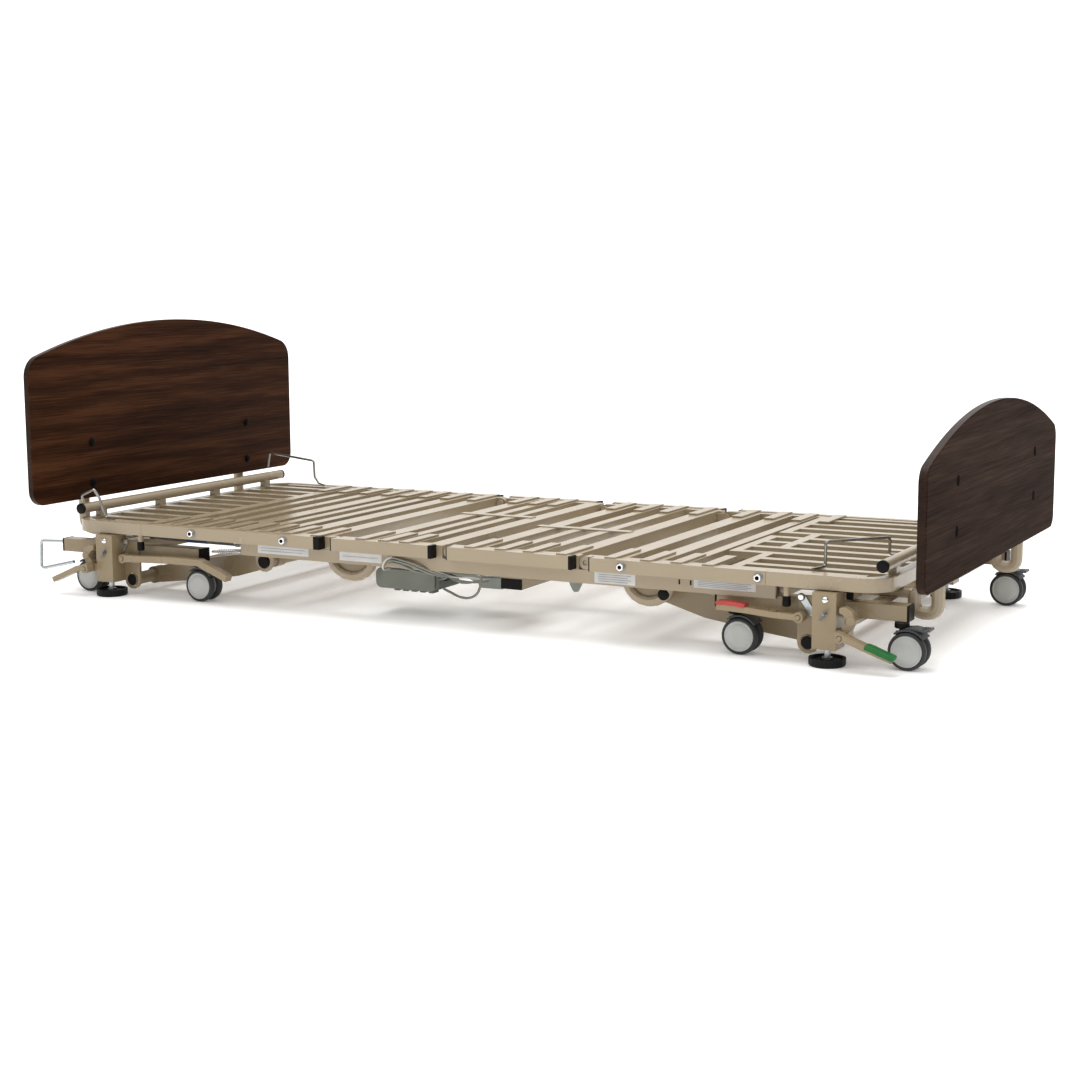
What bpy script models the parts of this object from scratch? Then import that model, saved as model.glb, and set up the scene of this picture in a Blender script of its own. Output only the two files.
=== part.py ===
"""Adjustable low hospital bed: welded frames, folding slatted deck, lift arms, casters and boards.

Metres, +Z up, +X towards the foot end, floor at Z = 0. Every coordinate below is in the bed's
own frame; the last step moves the whole bed so that its box is centred over the origin.
"""
import math

import bmesh
import bpy
from mathutils import Matrix, Vector

# ---------------------------------------------------------------- driving dimensions
BOX_SHIFT_X = 0.06690       # moves the bed so its box is centred over the origin
GAP = 0.0005                # running gap between neighbouring pieces

RAIL_OUT = 0.4572           # outer face of the deck's side rails from the centre line
RAIL_DEEP = 0.025
RAIL_LOW, RAIL_TOP = 0.160, 0.190
SLAT_TOP = 0.1885
SLAT_LOW = 0.1635
WIDE_LOW = 0.160            # underside of the deep slats
MEMBER_IN, MEMBER_OUT = 0.4045, 0.4305
MEMBER_LOW = 0.1585
FINGER_LOW, FINGER_TOP = 0.1889, 0.1930
FINGER_WIDE, FINGER_IN, FINGER_SHIFT = 0.026, 0.305, -0.006
HINGE_Z = 0.1735
HINGE_R = 0.0145

HEAD_END, FOOT_END = -1.120, 1.041      # outer faces of the deck's end rails
CORNER_R = 0.060
CORNER_HEAD, CORNER_FOOT = -0.895, 0.777  # joints between side rails and corner pieces
END_TUBE_R, END_TUBE_Z, END_TUBE_HALF = 0.0130, 0.2150, 0.440
SADDLES_Y = (-0.36, -0.12, 0.12, 0.36)
BUMPERS = {"head": (-0.907, 0.1215), "foot": (0.820, 0.1180)}   # hanging post: X and its lower end
BUMPER_R = 0.0075

SIDE_RAILS = {
    "head": (-0.8945, -0.356),
    "seat": (-0.3235, -0.045),
    "thigh": (-0.0045, 0.318),
    "foot": (0.361, 0.7765),
}
# cross slats: centre along X and width
SLATS = {
    "head": [(-0.8615, 0.034), (-0.792, 0.026), (-0.7205, 0.028), (-0.648, 0.043),
             (-0.585, 0.026), (-0.5235, 0.028), (-0.455, 0.045), (-0.3695, 0.045)],
    "seat": [(-0.2415, 0.042), (-0.178, 0.027), (-0.120, 0.027), (-0.0505, 0.043)],
    "thigh": [(0.055, 0.042), (0.135, 0.026), (0.208, 0.028), (0.2925, 0.044)],
    "foot": [(0.4127, 0.044), (0.499, 0.042), (0.5715, 0.026)],
}
BAR_PITCH, BAR_COUNT, BAR_WIDE, BAR_LOW = 0.080, 10, 0.026, 0.172
BACK_HINGE_X, THIGH_HINGE_X, FOOT_HINGE_X = -0.335, -0.012, 0.3395
PIN_R, PIN_HOLE_R, EAR_DISC_R = 0.005, 0.0058, 0.0105
FOOT_CROSS_X, FOOT_CROSS_WIDE = (0.607, 0.690), 0.024

# foot levers: pin (x, z), bar along (x, z), half height
LOCK_PEDAL_Y, RELEASE_PEDAL_Y = (-0.4635, -0.4390), (-0.504, -0.480)
LOCK_PIN_Y, RELEASE_PIN_Y = (-0.466, -0.4235), (-0.506, -0.442)
PEDALS = {
    "foot_lock_pedal": ((0.852, 0.098), [(0.668, 0.107), (0.735, 0.104), (0.800, 0.099), (0.862, 0.098)],
                        0.0065),
    "foot_release_pedal": ((0.956, 0.070), [(0.946, 0.0775), (0.980, 0.0645), (1.0115, 0.0530),
                                            (1.0680, 0.0335)], 0.0065),
    "head_lock_pedal": ((-0.955, 0.098), [(-0.965, 0.098), (-0.800, 0.104), (-0.716, 0.104),
                                          (-0.630, 0.070)], 0.0085),
    "head_release_pedal": ((-1.045, 0.072), [(-1.035, 0.080), (-1.070, 0.071), (-1.095, 0.060),
                                             (-1.150, 0.0365)], 0.0065),
}
RELEASE_TIES = {"head": (-1.055, -1.020), "foot": (0.930, 0.966)}   # blocks that carry the release pins

# drive units: z of the axis, rod radius, rod length inside, bore depth, half width and radius of the eye
BED_DRIVE = {"z": 0.094, "rod_r": 0.008, "eye": 0.0085, "eye_r": 0.011}
LIFT_DRIVE = {"z": 0.1445, "rod_r": 0.0055, "inside": 0.055, "bore": 0.103, "eye": 0.0075, "eye_r": 0.0085}
LIFT_DRIVE_Y, LIFT_DRIVE_R = -0.3580, 0.0098
CONTROL_BOX = (-0.2600, -0.0820, -0.3600, -0.2600, 0.0580, 0.1110)

# fixed frame
FRAME_X = (-0.606, 0.790)
WEB_IN, WEB_LOW, WEB_HIGH = 0.4235, 0.127, 0.1580
FLANGE_IN, FLANGE_LOW, FLANGE_HIGH = 0.390, 0.1525, 0.1579
CROSS_MEMBERS = ((-0.500, -0.460), (0.085, 0.105), (0.360, 0.400), (0.762, 0.788))
STUB_X, STUB_Y, STUB_LOW = (0.1100, 0.1635), (0.250, 0.400), 0.094
LUG_IN, LUG_OUT, LUG_TIE_OUT, LUG_R, LUG_HOLE_R = 0.3775, 0.3835, 0.395, 0.026, 0.0175
BENDS = ((-0.3620, -0.2360, 0.0925), (0.4285, 0.5345, 0.0940))   # two leg positions and the low point
BEND_Y, BEND_R, BEND_TOP = 0.400, 0.0125, 0.155

# lift arms: base pivots, deck pivots and section
PIVOT_LOW_Z, PIVOT_HIGH_Z = 0.040, 0.106
ARM_REACH = 0.380
HEAD_BASE_PIVOT, FOOT_BASE_PIVOT = -0.951, 0.8625
ARM_IN, ARM_OUT = 0.312, 0.346
ARM_TUBE_R = 0.016
ARM_TUBE_LOW_HALF, ARM_TUBE_HIGH_HALF = 0.431, 0.386
EAR_R, EAR_LEAN = 0.042, math.radians(32.5)     # lift actuator's ear: reach and lean from upright
EAR_Y = (-0.3745, -0.3690)

# base frames
BASE_IN, BASE_OUT = 0.3845, 0.4225
BASE_TUBE_HALF = 0.0165
HEAD_BASE_Z, FOOT_BASE_Z = 0.1145, 0.1170
POST_OUT, POST_WIDE, POST_TOP, POST_LOW = 0.475, 0.0525, 0.1575, 0.037
PLATE_THICK = 0.0065
HEAD_BASE_RAIL, FOOT_BASE_RAIL = (-1.184, -0.739), (0.649, 1.0770)
HEAD_POST_X, FOOT_POST_X = -1.028, 0.887
HEAD_CROSS, FOOT_CROSS = (-1.121, -1.081), (0.986, 1.026)
PAD_R, PAD_Y = 0.0394, 0.450

# casters
WHEEL_R, WHEEL_WIDE, TWIN_WIDE = 0.0406, 0.017, 0.050
CASTER_Y, CASTER_TRAIL = 0.4125, 0.0165
HEAD_STEMS, FOOT_STEMS = (-1.1074, -0.7520), (0.6927, 1.0609)
COLLAR_R = 0.0148

# boards
HEADBOARD_X, FOOTBOARD_X = -1.1685, 1.1295
HEADBOARD_THICK, FOOTBOARD_THICK = 0.019, 0.020
SLOT_LEVELS = (0.282, 0.388)
BOARD_HALF = 0.560
MOUNT_Y, MOUNT_R = 0.336, 0.0115

BEIGE = (0.50, 0.39, 0.24, 1.0)
BLACK = (0.02, 0.02, 0.02, 1.0)


# ---------------------------------------------------------------- shape helpers
def clear_scene():
    for old in list(bpy.data.objects):
        bpy.data.objects.remove(old, do_unlink=True)


def to_object(name, bm):
    bmesh.ops.recalc_face_normals(bm, faces=bm.faces[:])
    mesh = bpy.data.meshes.new(name)
    bm.to_mesh(mesh)
    bm.free()
    obj = bpy.data.objects.new(name, mesh)
    bpy.context.scene.collection.objects.link(obj)
    return obj


def block(x0, x1, y0, y1, z0, z1):
    bm = bmesh.new()
    bmesh.ops.create_cube(bm, size=1.0)
    size = Matrix.Diagonal((x1 - x0, y1 - y0, z1 - z0, 1.0))
    centre = Matrix.Translation(((x0 + x1) / 2, (y0 + y1) / 2, (z0 + z1) / 2))
    bmesh.ops.transform(bm, matrix=centre @ size, verts=bm.verts)
    return to_object("block", bm)


def rod(start, end, radius, sides=16):
    start, end = Vector(start), Vector(end)
    axis = end - start
    bm = bmesh.new()
    bmesh.ops.create_cone(bm, cap_ends=True, segments=sides, radius1=radius, radius2=radius,
                          depth=axis.length)
    turn = Vector((0, 0, 1)).rotation_difference(axis).to_matrix().to_4x4()
    place = Matrix.Translation((start + end) / 2) @ turn
    bmesh.ops.transform(bm, matrix=place, verts=bm.verts)
    return to_object("rod", bm)


def plate(outline, low, high, axis="Y"):
    """Extrude a closed outline: (x, z) points along Y, or (x, y) points along Z, or (y, z) along X."""
    lift = {
        "Y": lambda a, b, c: (a, c, b),
        "Z": lambda a, b, c: (a, b, c),
        "X": lambda a, b, c: (c, a, b),
    }[axis]
    bm = bmesh.new()
    near = [bm.verts.new(lift(a, b, low)) for a, b in outline]
    far = [bm.verts.new(lift(a, b, high)) for a, b in outline]
    bm.faces.new(near)
    bm.faces.new(far)
    count = len(outline)
    for i in range(count):
        j = (i + 1) % count
        bm.faces.new((near[i], near[j], far[j], far[i]))
    return to_object("plate", bm)


def arc(cx, cy, radius, start, end, steps):
    """Points on a circle from start to end, in degrees."""
    points = []
    for i in range(steps + 1):
        angle = math.radians(start + (end - start) * i / steps)
        points.append((cx + radius * math.cos(angle), cy + radius * math.sin(angle)))
    return points


def rounded_path(corners, radius, steps=5):
    """Turn a list of corner points into a path with rounded bends."""
    corners = [Vector(c) for c in corners]
    path = [corners[0]]
    for before, here, after in zip(corners, corners[1:], corners[2:]):
        a = (before - here).normalized()
        b = (after - here).normalized()
        half = a.angle(b) / 2
        reach = radius / math.tan(half)
        centre = here + (a + b).normalized() * radius / math.sin(half)
        first = (here + a * reach - centre).normalized()
        last = (here + b * reach - centre).normalized()
        for i in range(steps + 1):
            path.append(centre + first.slerp(last, i / steps) * radius)
    path.append(corners[-1])
    return path


def bent_tube(path, radius, sides=10):
    """Sweep a round section along a path with square-cut ends."""
    path = [Vector(p) for p in path]
    bm = bmesh.new()
    rings = []
    side = None
    for i, point in enumerate(path):
        before = path[max(i - 1, 0)]
        after = path[min(i + 1, len(path) - 1)]
        ahead = (after - before).normalized()
        if side is None:
            other = Vector((0, 1, 0)) if abs(ahead.y) < 0.9 else Vector((1, 0, 0))
            side = ahead.cross(other).normalized()
        side = (side - ahead * side.dot(ahead)).normalized()
        up = ahead.cross(side)
        ring = []
        for k in range(sides):
            angle = 2 * math.pi * k / sides
            offset = side * math.cos(angle) + up * math.sin(angle)
            ring.append(bm.verts.new(point + offset * radius))
        rings.append(ring)
    for ring, following in zip(rings, rings[1:]):
        for k in range(sides):
            j = (k + 1) % sides
            bm.faces.new((ring[k], ring[j], following[j], following[k]))
    bm.faces.new(rings[0])
    bm.faces.new(rings[-1])
    return to_object("tube", bm)


def turned(profile, centre, axis="Z", sides=24):
    """Revolve (radius, height) points about an axis through centre."""
    bm = bmesh.new()
    rings = []
    for radius, height in profile:
        ring = []
        for k in range(sides):
            angle = 2 * math.pi * k / sides
            a, b = radius * math.cos(angle), radius * math.sin(angle)
            spot = (a, b, height) if axis == "Z" else (a, height, b)
            ring.append(bm.verts.new(Vector(centre) + Vector(spot)))
        rings.append(ring)
    for ring, following in zip(rings, rings[1:]):
        for k in range(sides):
            j = (k + 1) % sides
            bm.faces.new((ring[k], ring[j], following[j], following[k]))
    bm.faces.new(rings[0])
    bm.faces.new(rings[-1])
    return to_object("turned", bm)


def combine(base, others, operation):
    """Boolean the other shapes into the base one and return the finished object."""
    if not others:
        return base
    group = bpy.data.collections.new("shapes")
    for other in others:
        group.objects.link(other)
    step = base.modifiers.new("join", "BOOLEAN")
    step.operation = operation
    step.operand_type = "COLLECTION"
    step.collection = group
    step.solver = "EXACT"
    graph = bpy.context.evaluated_depsgraph_get()
    mesh = bpy.data.meshes.new_from_object(base.evaluated_get(graph))
    base.modifiers.clear()
    base.data = mesh
    for other in others:
        bpy.data.objects.remove(other, do_unlink=True)
    bpy.data.collections.remove(group)
    return base


def weld(shapes, holes=()):
    """One closed solid from overlapping shapes, with holes cut out of it."""
    return combine(combine(shapes[0], list(shapes[1:]), "UNION"), list(holes), "DIFFERENCE")


def tidy_mesh(obj):
    bm = bmesh.new()
    bm.from_mesh(obj.data)
    bmesh.ops.remove_doubles(bm, verts=bm.verts[:], dist=0.00001)
    bmesh.ops.dissolve_limit(bm, angle_limit=math.radians(0.5), verts=bm.verts[:], edges=bm.edges[:])
    loose = [edge for edge in bm.edges if not edge.link_faces]
    bmesh.ops.delete(bm, geom=loose, context="EDGES")
    bmesh.ops.triangulate(bm, faces=bm.faces[:])
    bm.to_mesh(obj.data)
    bm.free()


MATERIALS = {}


def paint(name, colour, roughness, metallic=0.0):
    if name not in MATERIALS:
        made = bpy.data.materials.new(name)
        made.use_nodes = True
        shader = made.node_tree.nodes["Principled BSDF"]
        shader.inputs["Base Color"].default_value = colour
        shader.inputs["Roughness"].default_value = roughness
        shader.inputs["Metallic"].default_value = metallic
        MATERIALS[name] = made
    return MATERIALS[name]


def piece(name, obj, colour=BEIGE, roughness=0.35, metallic=0.0, pivot=(0, 0, 0), smooth=False):
    """Name a finished solid, give it its own material and put its origin on its pivot."""
    tidy_mesh(obj)
    obj.name = name
    obj.data.name = name
    obj.data.materials.clear()
    obj.data.materials.append(paint(name + "_finish", colour, roughness, metallic))
    obj.data.transform(Matrix.Translation(-Vector(pivot)))
    obj.location = pivot
    if smooth:
        obj.data.shade_smooth()
        obj.data.set_sharp_from_angle(angle=math.radians(35))
    return obj


def both_sides(y0, y1):
    """The near and far pair of a Y range given on the far side."""
    return ((-y1, -y0), (y0, y1))


# ---------------------------------------------------------------- slatted deck
def cross_slats(section):
    shapes = []
    last = len(SLATS[section]) - 1
    for i, (x, width) in enumerate(SLATS[section]):
        low = WIDE_LOW if i in (0, last) and width > 0.04 else SLAT_LOW
        reach = MEMBER_IN + 0.005
        shapes.append(block(x - width / 2, x + width / 2, -reach, reach, low, SLAT_TOP))
    return shapes


def side_members(x0, x1):
    return [block(x0, x1, y0, y1, MEMBER_LOW, SLAT_TOP) for y0, y1 in both_sides(MEMBER_IN, MEMBER_OUT)]


def hinge_ends(x):
    return [rod((x, y0, HINGE_Z), (x, y1, HINGE_Z), HINGE_R) for y0, y1 in both_sides(MEMBER_IN, MEMBER_OUT)]


def hinge_holes(x):
    clear = 0.006
    return [rod((x, y0 - clear, HINGE_Z), (x, y1 + clear, HINGE_Z), PIN_HOLE_R, 12)
            for y0, y1 in both_sides(MEMBER_IN, MEMBER_OUT)]


def hinge_pins(x, stem):
    """Ears with a pin each; stem is the box that ties an ear to its frame, as x and z offsets."""
    shapes = []
    for sign in (-1, 1):
        inner, outer, tip = 0.396 * sign, 0.402 * sign, 0.428 * sign
        low, high = min(inner, outer), max(inner, outer)
        shapes.append(rod((x, low, HINGE_Z), (x, high, HINGE_Z), EAR_DISC_R, 14))
        shapes.append(rod((x, inner + 0.002 * sign, HINGE_Z), (x, tip, HINGE_Z), PIN_R, 12))
        shapes.append(block(x + stem[0], x + stem[1], low, high, HINGE_Z + stem[2], HINGE_Z + stem[3]))
    return shapes


def end_bars(x0, x1):
    shapes = []
    for i in range(BAR_COUNT):
        y = (i - (BAR_COUNT - 1) / 2) * BAR_PITCH
        shapes.append(block(x0, x1, y - BAR_WIDE / 2, y + BAR_WIDE / 2, BAR_LOW, SLAT_TOP))
    return shapes


def end_rail_and_tube(end, inward):
    """End rail between the corner pieces, with the round end tube on four saddles above it."""
    straight = RAIL_OUT - CORNER_R
    x_in = end + inward * RAIL_DEEP
    x0, x1 = min(end, x_in), max(end, x_in)
    tube_x = end + inward * (RAIL_DEEP / 2 + 0.003)
    saddle = END_TUBE_R - 0.004
    shapes = [block(x0, x1, -straight + GAP, straight - GAP, RAIL_LOW, SLAT_TOP)]
    shapes.append(rod((tube_x, -END_TUBE_HALF, END_TUBE_Z), (tube_x, END_TUBE_HALF, END_TUBE_Z),
                      END_TUBE_R, 20))
    for y in SADDLES_Y:
        shapes.append(block(tube_x - saddle, tube_x + saddle, y - 0.012, y + 0.012, SLAT_TOP - 0.004,
                            END_TUBE_Z - 0.006))
    return shapes


def crank(pin, root, y, apart=0.020, thick=0.006):
    """Two drop plates from a slat to an actuator's pin; (x, z) pin and root points."""
    px, pz = pin
    rx, rz = root
    along = Vector((px - rx, pz - rz)).normalized()
    across = Vector((-along.y, along.x)) * 0.011
    tip = Vector((px, pz)) + along * 0.009
    outline = [Vector(root) + across, tip + across, tip - across, Vector(root) - across]
    points = [(p.x, p.y) for p in outline]
    middles = (y - apart / 2 - thick, y + apart / 2 + thick)
    return [plate(points, middle - thick / 2, middle + thick / 2) for middle in middles]


BACK_Y, KNEE_Y = -0.220, -0.100
BACK_PIN = (BACK_HINGE_X + 0.045, HINGE_Z - 0.0735)
KNEE_PIN = (THIGH_HINGE_X - 0.025, HINGE_Z - 0.0810)


def head_section():
    shapes = cross_slats("head")
    shapes += side_members(-1.060, BACK_HINGE_X)
    shapes += hinge_ends(BACK_HINGE_X)
    shapes += end_bars(HEAD_END + 0.010, SLATS["head"][0][0])
    shapes += end_rail_and_tube(HEAD_END, 1)
    shapes += crank(BACK_PIN, (-0.366, 0.170), BACK_Y)
    piece("head_section", weld(shapes, hinge_holes(BACK_HINGE_X)), pivot=(BACK_HINGE_X, 0, HINGE_Z))


def thigh_section():
    shapes = cross_slats("thigh")
    shapes += side_members(THIGH_HINGE_X, 0.3235)
    shapes += hinge_ends(THIGH_HINGE_X)
    shapes.append(block(0.020, 0.275, -0.058, -0.033, SLAT_TOP - 0.002, SLAT_TOP + 0.002))
    shapes += hinge_pins(FOOT_HINGE_X, (-0.040, 0.0, -0.0105, 0.0105))
    shapes += crank(KNEE_PIN, (0.048, 0.170), KNEE_Y)
    piece("thigh_section", weld(shapes, hinge_holes(THIGH_HINGE_X)), pivot=(THIGH_HINGE_X, 0, HINGE_Z))


def foot_section():
    shapes = cross_slats("foot")
    shapes += side_members(FOOT_HINGE_X, 0.985)
    shapes += hinge_ends(FOOT_HINGE_X)
    shapes += end_rail_and_tube(FOOT_END, -1)
    inner_x, outer_x = FOOT_CROSS_X
    for x, y0, y1 in ((inner_x, 0.107, 0.4065), (inner_x, -0.213, 0.053),
                      (outer_x, -0.133, 0.133), (outer_x, -0.4065, -0.187)):
        shapes.append(block(x - FOOT_CROSS_WIDE / 2, x + FOOT_CROSS_WIDE / 2, y0, y1,
                            BAR_LOW - 0.002, SLAT_TOP))
    for i in range(BAR_COUNT):
        y = (i - (BAR_COUNT - 1) / 2) * BAR_PITCH
        start = outer_x if y < -0.25 else inner_x
        shapes.append(block(start, FOOT_END - 0.010, y - BAR_WIDE / 2, y + BAR_WIDE / 2, BAR_LOW, SLAT_TOP))
    piece("foot_section", weld(shapes, hinge_holes(FOOT_HINGE_X)), pivot=(FOOT_HINGE_X, 0, HINGE_Z))


def side_rail(section, side, sign):
    """Sliding side rail with the fingers that widen the deck."""
    x0, x1 = SIDE_RAILS[section]
    inner = RAIL_OUT - RAIL_DEEP
    y0, y1 = sorted((inner * sign, RAIL_OUT * sign))
    shapes = [block(x0, x1, y0, y1, RAIL_LOW, RAIL_TOP)]
    spots = [x for x, width in SLATS[section] if x0 + 0.01 < x < x1 - 0.01]
    if section == "foot":
        spots.append(0.645)
    for x in spots:
        middle = x + FINGER_SHIFT
        f0, f1 = sorted((FINGER_IN * sign, (inner + 0.012) * sign))
        shapes.append(block(middle - FINGER_WIDE / 2, middle + FINGER_WIDE / 2, f0, f1,
                            FINGER_LOW, FINGER_TOP))
    piece(section + "_rail_" + side, weld(shapes))


def corner_piece(end_name, side, sign):
    """Rounded corner rail with its hanging bumper post."""
    if end_name == "head":
        end, joint, inward = HEAD_END, CORNER_HEAD, 1
    else:
        end, joint, inward = FOOT_END, CORNER_FOOT, -1
    cx = end + inward * CORNER_R
    cy = RAIL_OUT - CORNER_R
    outer = arc(0, 0, CORNER_R, 90, 180, 8)
    inner = arc(0, 0, CORNER_R - RAIL_DEEP, 180, 90, 8)
    outline = [(joint, RAIL_OUT)]
    outline += [(cx + inward * a, cy + b) for a, b in outer]
    outline += [(cx + inward * a, cy + b) for a, b in inner]
    outline.append((joint, RAIL_OUT - RAIL_DEEP))
    outline = [(x, y * sign) for x, y in outline]
    post_y = (RAIL_OUT - RAIL_DEEP / 2) * sign
    post_x, post_low = BUMPERS[end_name]
    shapes = [plate(outline, RAIL_LOW, RAIL_TOP, axis="Z"),
              rod((post_x, post_y, post_low), (post_x, post_y, RAIL_LOW + 0.01), BUMPER_R, 12)]
    piece(end_name + "_corner_" + side, weld(shapes))


# ---------------------------------------------------------------- frames and arms
def lug_plates(x):
    """Pivot lugs under both frame rails at x, and the holes through them."""
    shapes, holes = [], []
    for (y0, y1), tie in zip(both_sides(LUG_IN, LUG_OUT), both_sides(LUG_IN, LUG_TIE_OUT)):
        outline = arc(x, PIVOT_HIGH_Z, LUG_R, 180, 360, 7)
        outline += [(x + 0.030, 0.1555), (x - 0.030, 0.1555)]
        shapes.append(plate(outline, y0, y1))
        shapes.append(block(x - 0.028, x + 0.028, *tie, 0.1510, 0.1572))
        holes.append(rod((x, y0 - 0.01, PIVOT_HIGH_Z), (x, y1 + 0.01, PIVOT_HIGH_Z), LUG_HOLE_R, 16))
    return shapes, holes


def hanging_bend(x0, x1, low, y):
    """U-bent tube that hangs from the frame rail between x0 and x1."""
    deep = min((x1 - x0) / 2, BEND_TOP - low) - 0.002
    corners = [(x0, y, BEND_TOP), (x0, y, low), (x1, y, low), (x1, y, BEND_TOP)]
    return bent_tube(merge_close(rounded_path(corners, deep, 5)), BEND_R, 10)


def merge_close(path, least=0.002):
    """The path without points that almost coincide."""
    kept = [path[0]]
    for point in path[1:]:
        if (point - kept[-1]).length > least:
            kept.append(point)
    return kept


def mount_tube(corners, bend, radius):
    """Bent tube that carries a board."""
    return bent_tube(merge_close(rounded_path(corners, bend, 4)), radius)


def deck_frame():
    """Fixed frame: angle rails, cross members, pivot lugs, board mounts and the seat's slats."""
    x0, x1 = FRAME_X
    shapes = []
    for web, flange in zip(both_sides(WEB_IN, MEMBER_OUT), both_sides(FLANGE_IN, MEMBER_OUT)):
        shapes.append(block(x0, x1, *web, WEB_LOW, WEB_HIGH))
        shapes.append(block(x0 + 0.001, x1 - 0.001, *flange, FLANGE_LOW, FLANGE_HIGH))
    for a, b in CROSS_MEMBERS:
        shapes.append(block(a, b, -0.400, 0.400, 0.1355, 0.1570))
    for y0, y1 in both_sides(*STUB_Y):
        shapes.append(block(STUB_X[0], STUB_X[1], y0, y1, STUB_LOW, 0.1570))
    # seat: slats on their own side members, welded to the flanges
    shapes += cross_slats("seat")
    shapes += [block(-0.3185, -0.0295, y0, y1, 0.1560, SLAT_TOP - 0.0001)
               for y0, y1 in both_sides(MEMBER_IN, MEMBER_OUT - 0.0002)]
    shapes.append(block(-0.270, -0.060, 0.068, 0.093, SLAT_TOP - 0.002, SLAT_TOP + 0.002))
    # pivot lugs and hinge ears
    holes = []
    for x in (HEAD_BASE_PIVOT + ARM_REACH, FOOT_BASE_PIVOT - ARM_REACH):
        lugs, cuts = lug_plates(x)
        shapes += lugs
        holes += cuts
    shapes += hinge_pins(BACK_HINGE_X, (-0.0100, 0.0100, -0.0200, 0.0))
    shapes += hinge_pins(THIGH_HINGE_X, (-0.0100, 0.0100, -0.0200, 0.0))
    # U bends under the frame
    for y in (-BEND_Y, BEND_Y):
        shapes += [hanging_bend(leg0, leg1, low, y) for leg0, leg1, low in BENDS]
    # board mounts
    for y in (-MOUNT_Y, MOUNT_Y):
        shapes.append(rod((0.770, y, 0.1465), (1.0600, y, 0.1465), MOUNT_R, 10))
        shapes.append(mount_tube([(1.0630, y, 0.1530), (1.0630, y, 0.1060), (1.1140, y, 0.1060),
                                  (1.1140, y, 0.420)], 0.0200, 0.0145))
        shapes.append(rod((-0.480, y, 0.1465), (-1.1300, y, 0.1465), MOUNT_R, 10))
        shapes.append(mount_tube([(-1.1235, y, 0.1465), (-1.1835, y, 0.1465), (-1.1835, y, 0.400)],
                                 0.0280, 0.0145))
    # actuator brackets
    for y, x_in, x_out in ((BACK_Y, 0.078, 0.098), (KNEE_Y, 0.346, 0.372)):
        for s in (-0.019, 0.013):
            shapes.append(block(x_in, x_out, y + s, y + s + 0.006, 0.082, 0.140))
    # control box hanger
    shapes.append(block(-0.230, -0.110, -0.345, -0.275, 0.1115, 0.1145))
    for x in (-0.230, -0.1140):
        shapes.append(block(x, x + 0.004, -0.345, -0.275, 0.1120, 0.1640))
    piece("deck_frame", weld(shapes, holes), pivot=(HEAD_BASE_PIVOT + ARM_REACH, 0, PIVOT_HIGH_Z))


def lift_arm(name, base_x, direction):
    """Welded arm: two side members, the base tube, the deck tube and the actuator's ear."""
    deck_x = base_x + direction * ARM_REACH
    angle = math.atan2(PIVOT_HIGH_Z - PIVOT_LOW_Z, ARM_REACH)
    along = Vector((direction * math.cos(angle), math.sin(angle)))
    across = Vector((-along.y, along.x)) * direction
    low = Vector((base_x, PIVOT_LOW_Z))
    high = Vector((deck_x, PIVOT_HIGH_Z))
    outline = []
    for t, width in ((0.0, 0.020), (0.30, 0.025), (0.75, 0.023), (1.0, 0.017)):
        outline.append(low.lerp(high, t) + across * width)
    for t, width in ((1.0, 0.017), (0.70, 0.030), (0.35, 0.027), (0.0, 0.020)):
        outline.append(low.lerp(high, t) - across * width)
    points = [(p.x, p.y) for p in outline]
    shapes = []
    for y0, y1 in both_sides(ARM_IN, ARM_OUT):
        shapes.append(plate(points, y0, y1))
        shapes.append(rod((base_x, y0, PIVOT_LOW_Z), (base_x, y1, PIVOT_LOW_Z), 0.022, 18))
        shapes.append(rod((deck_x, y0, PIVOT_HIGH_Z), (deck_x, y1, PIVOT_HIGH_Z), 0.019, 18))
    shapes.append(rod((base_x, -ARM_TUBE_LOW_HALF, PIVOT_LOW_Z), (base_x, ARM_TUBE_LOW_HALF, PIVOT_LOW_Z),
                      ARM_TUBE_R, 18))
    shapes.append(rod((deck_x, -ARM_TUBE_HIGH_HALF, PIVOT_HIGH_Z), (deck_x, ARM_TUBE_HIGH_HALF, PIVOT_HIGH_Z),
                      ARM_TUBE_R, 18))
    middle = low.lerp(high, 0.55)
    shapes.append(block(middle.x - 0.020, middle.x + 0.020, -ARM_IN - 0.01, ARM_IN + 0.01,
                        middle.y - 0.014, middle.y + 0.014))
    # ear for the lift actuator, on the near side
    pin = Vector((deck_x + direction * EAR_R * math.sin(EAR_LEAN), PIVOT_HIGH_Z + EAR_R * math.cos(EAR_LEAN)))
    root = Vector((deck_x, PIVOT_HIGH_Z))
    line = (pin - root).normalized()
    aside = Vector((-line.y, line.x)) * 0.0080
    tip = pin + line * 0.0070
    ear = [root + aside * 1.5, tip + aside, tip - aside, root - aside * 1.5]
    shapes.append(plate([(p.x, p.y) for p in ear], *EAR_Y))
    piece(name, weld(shapes), pivot=(base_x, 0, PIVOT_LOW_Z) if direction > 0 else (deck_x, 0, PIVOT_HIGH_Z))


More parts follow.
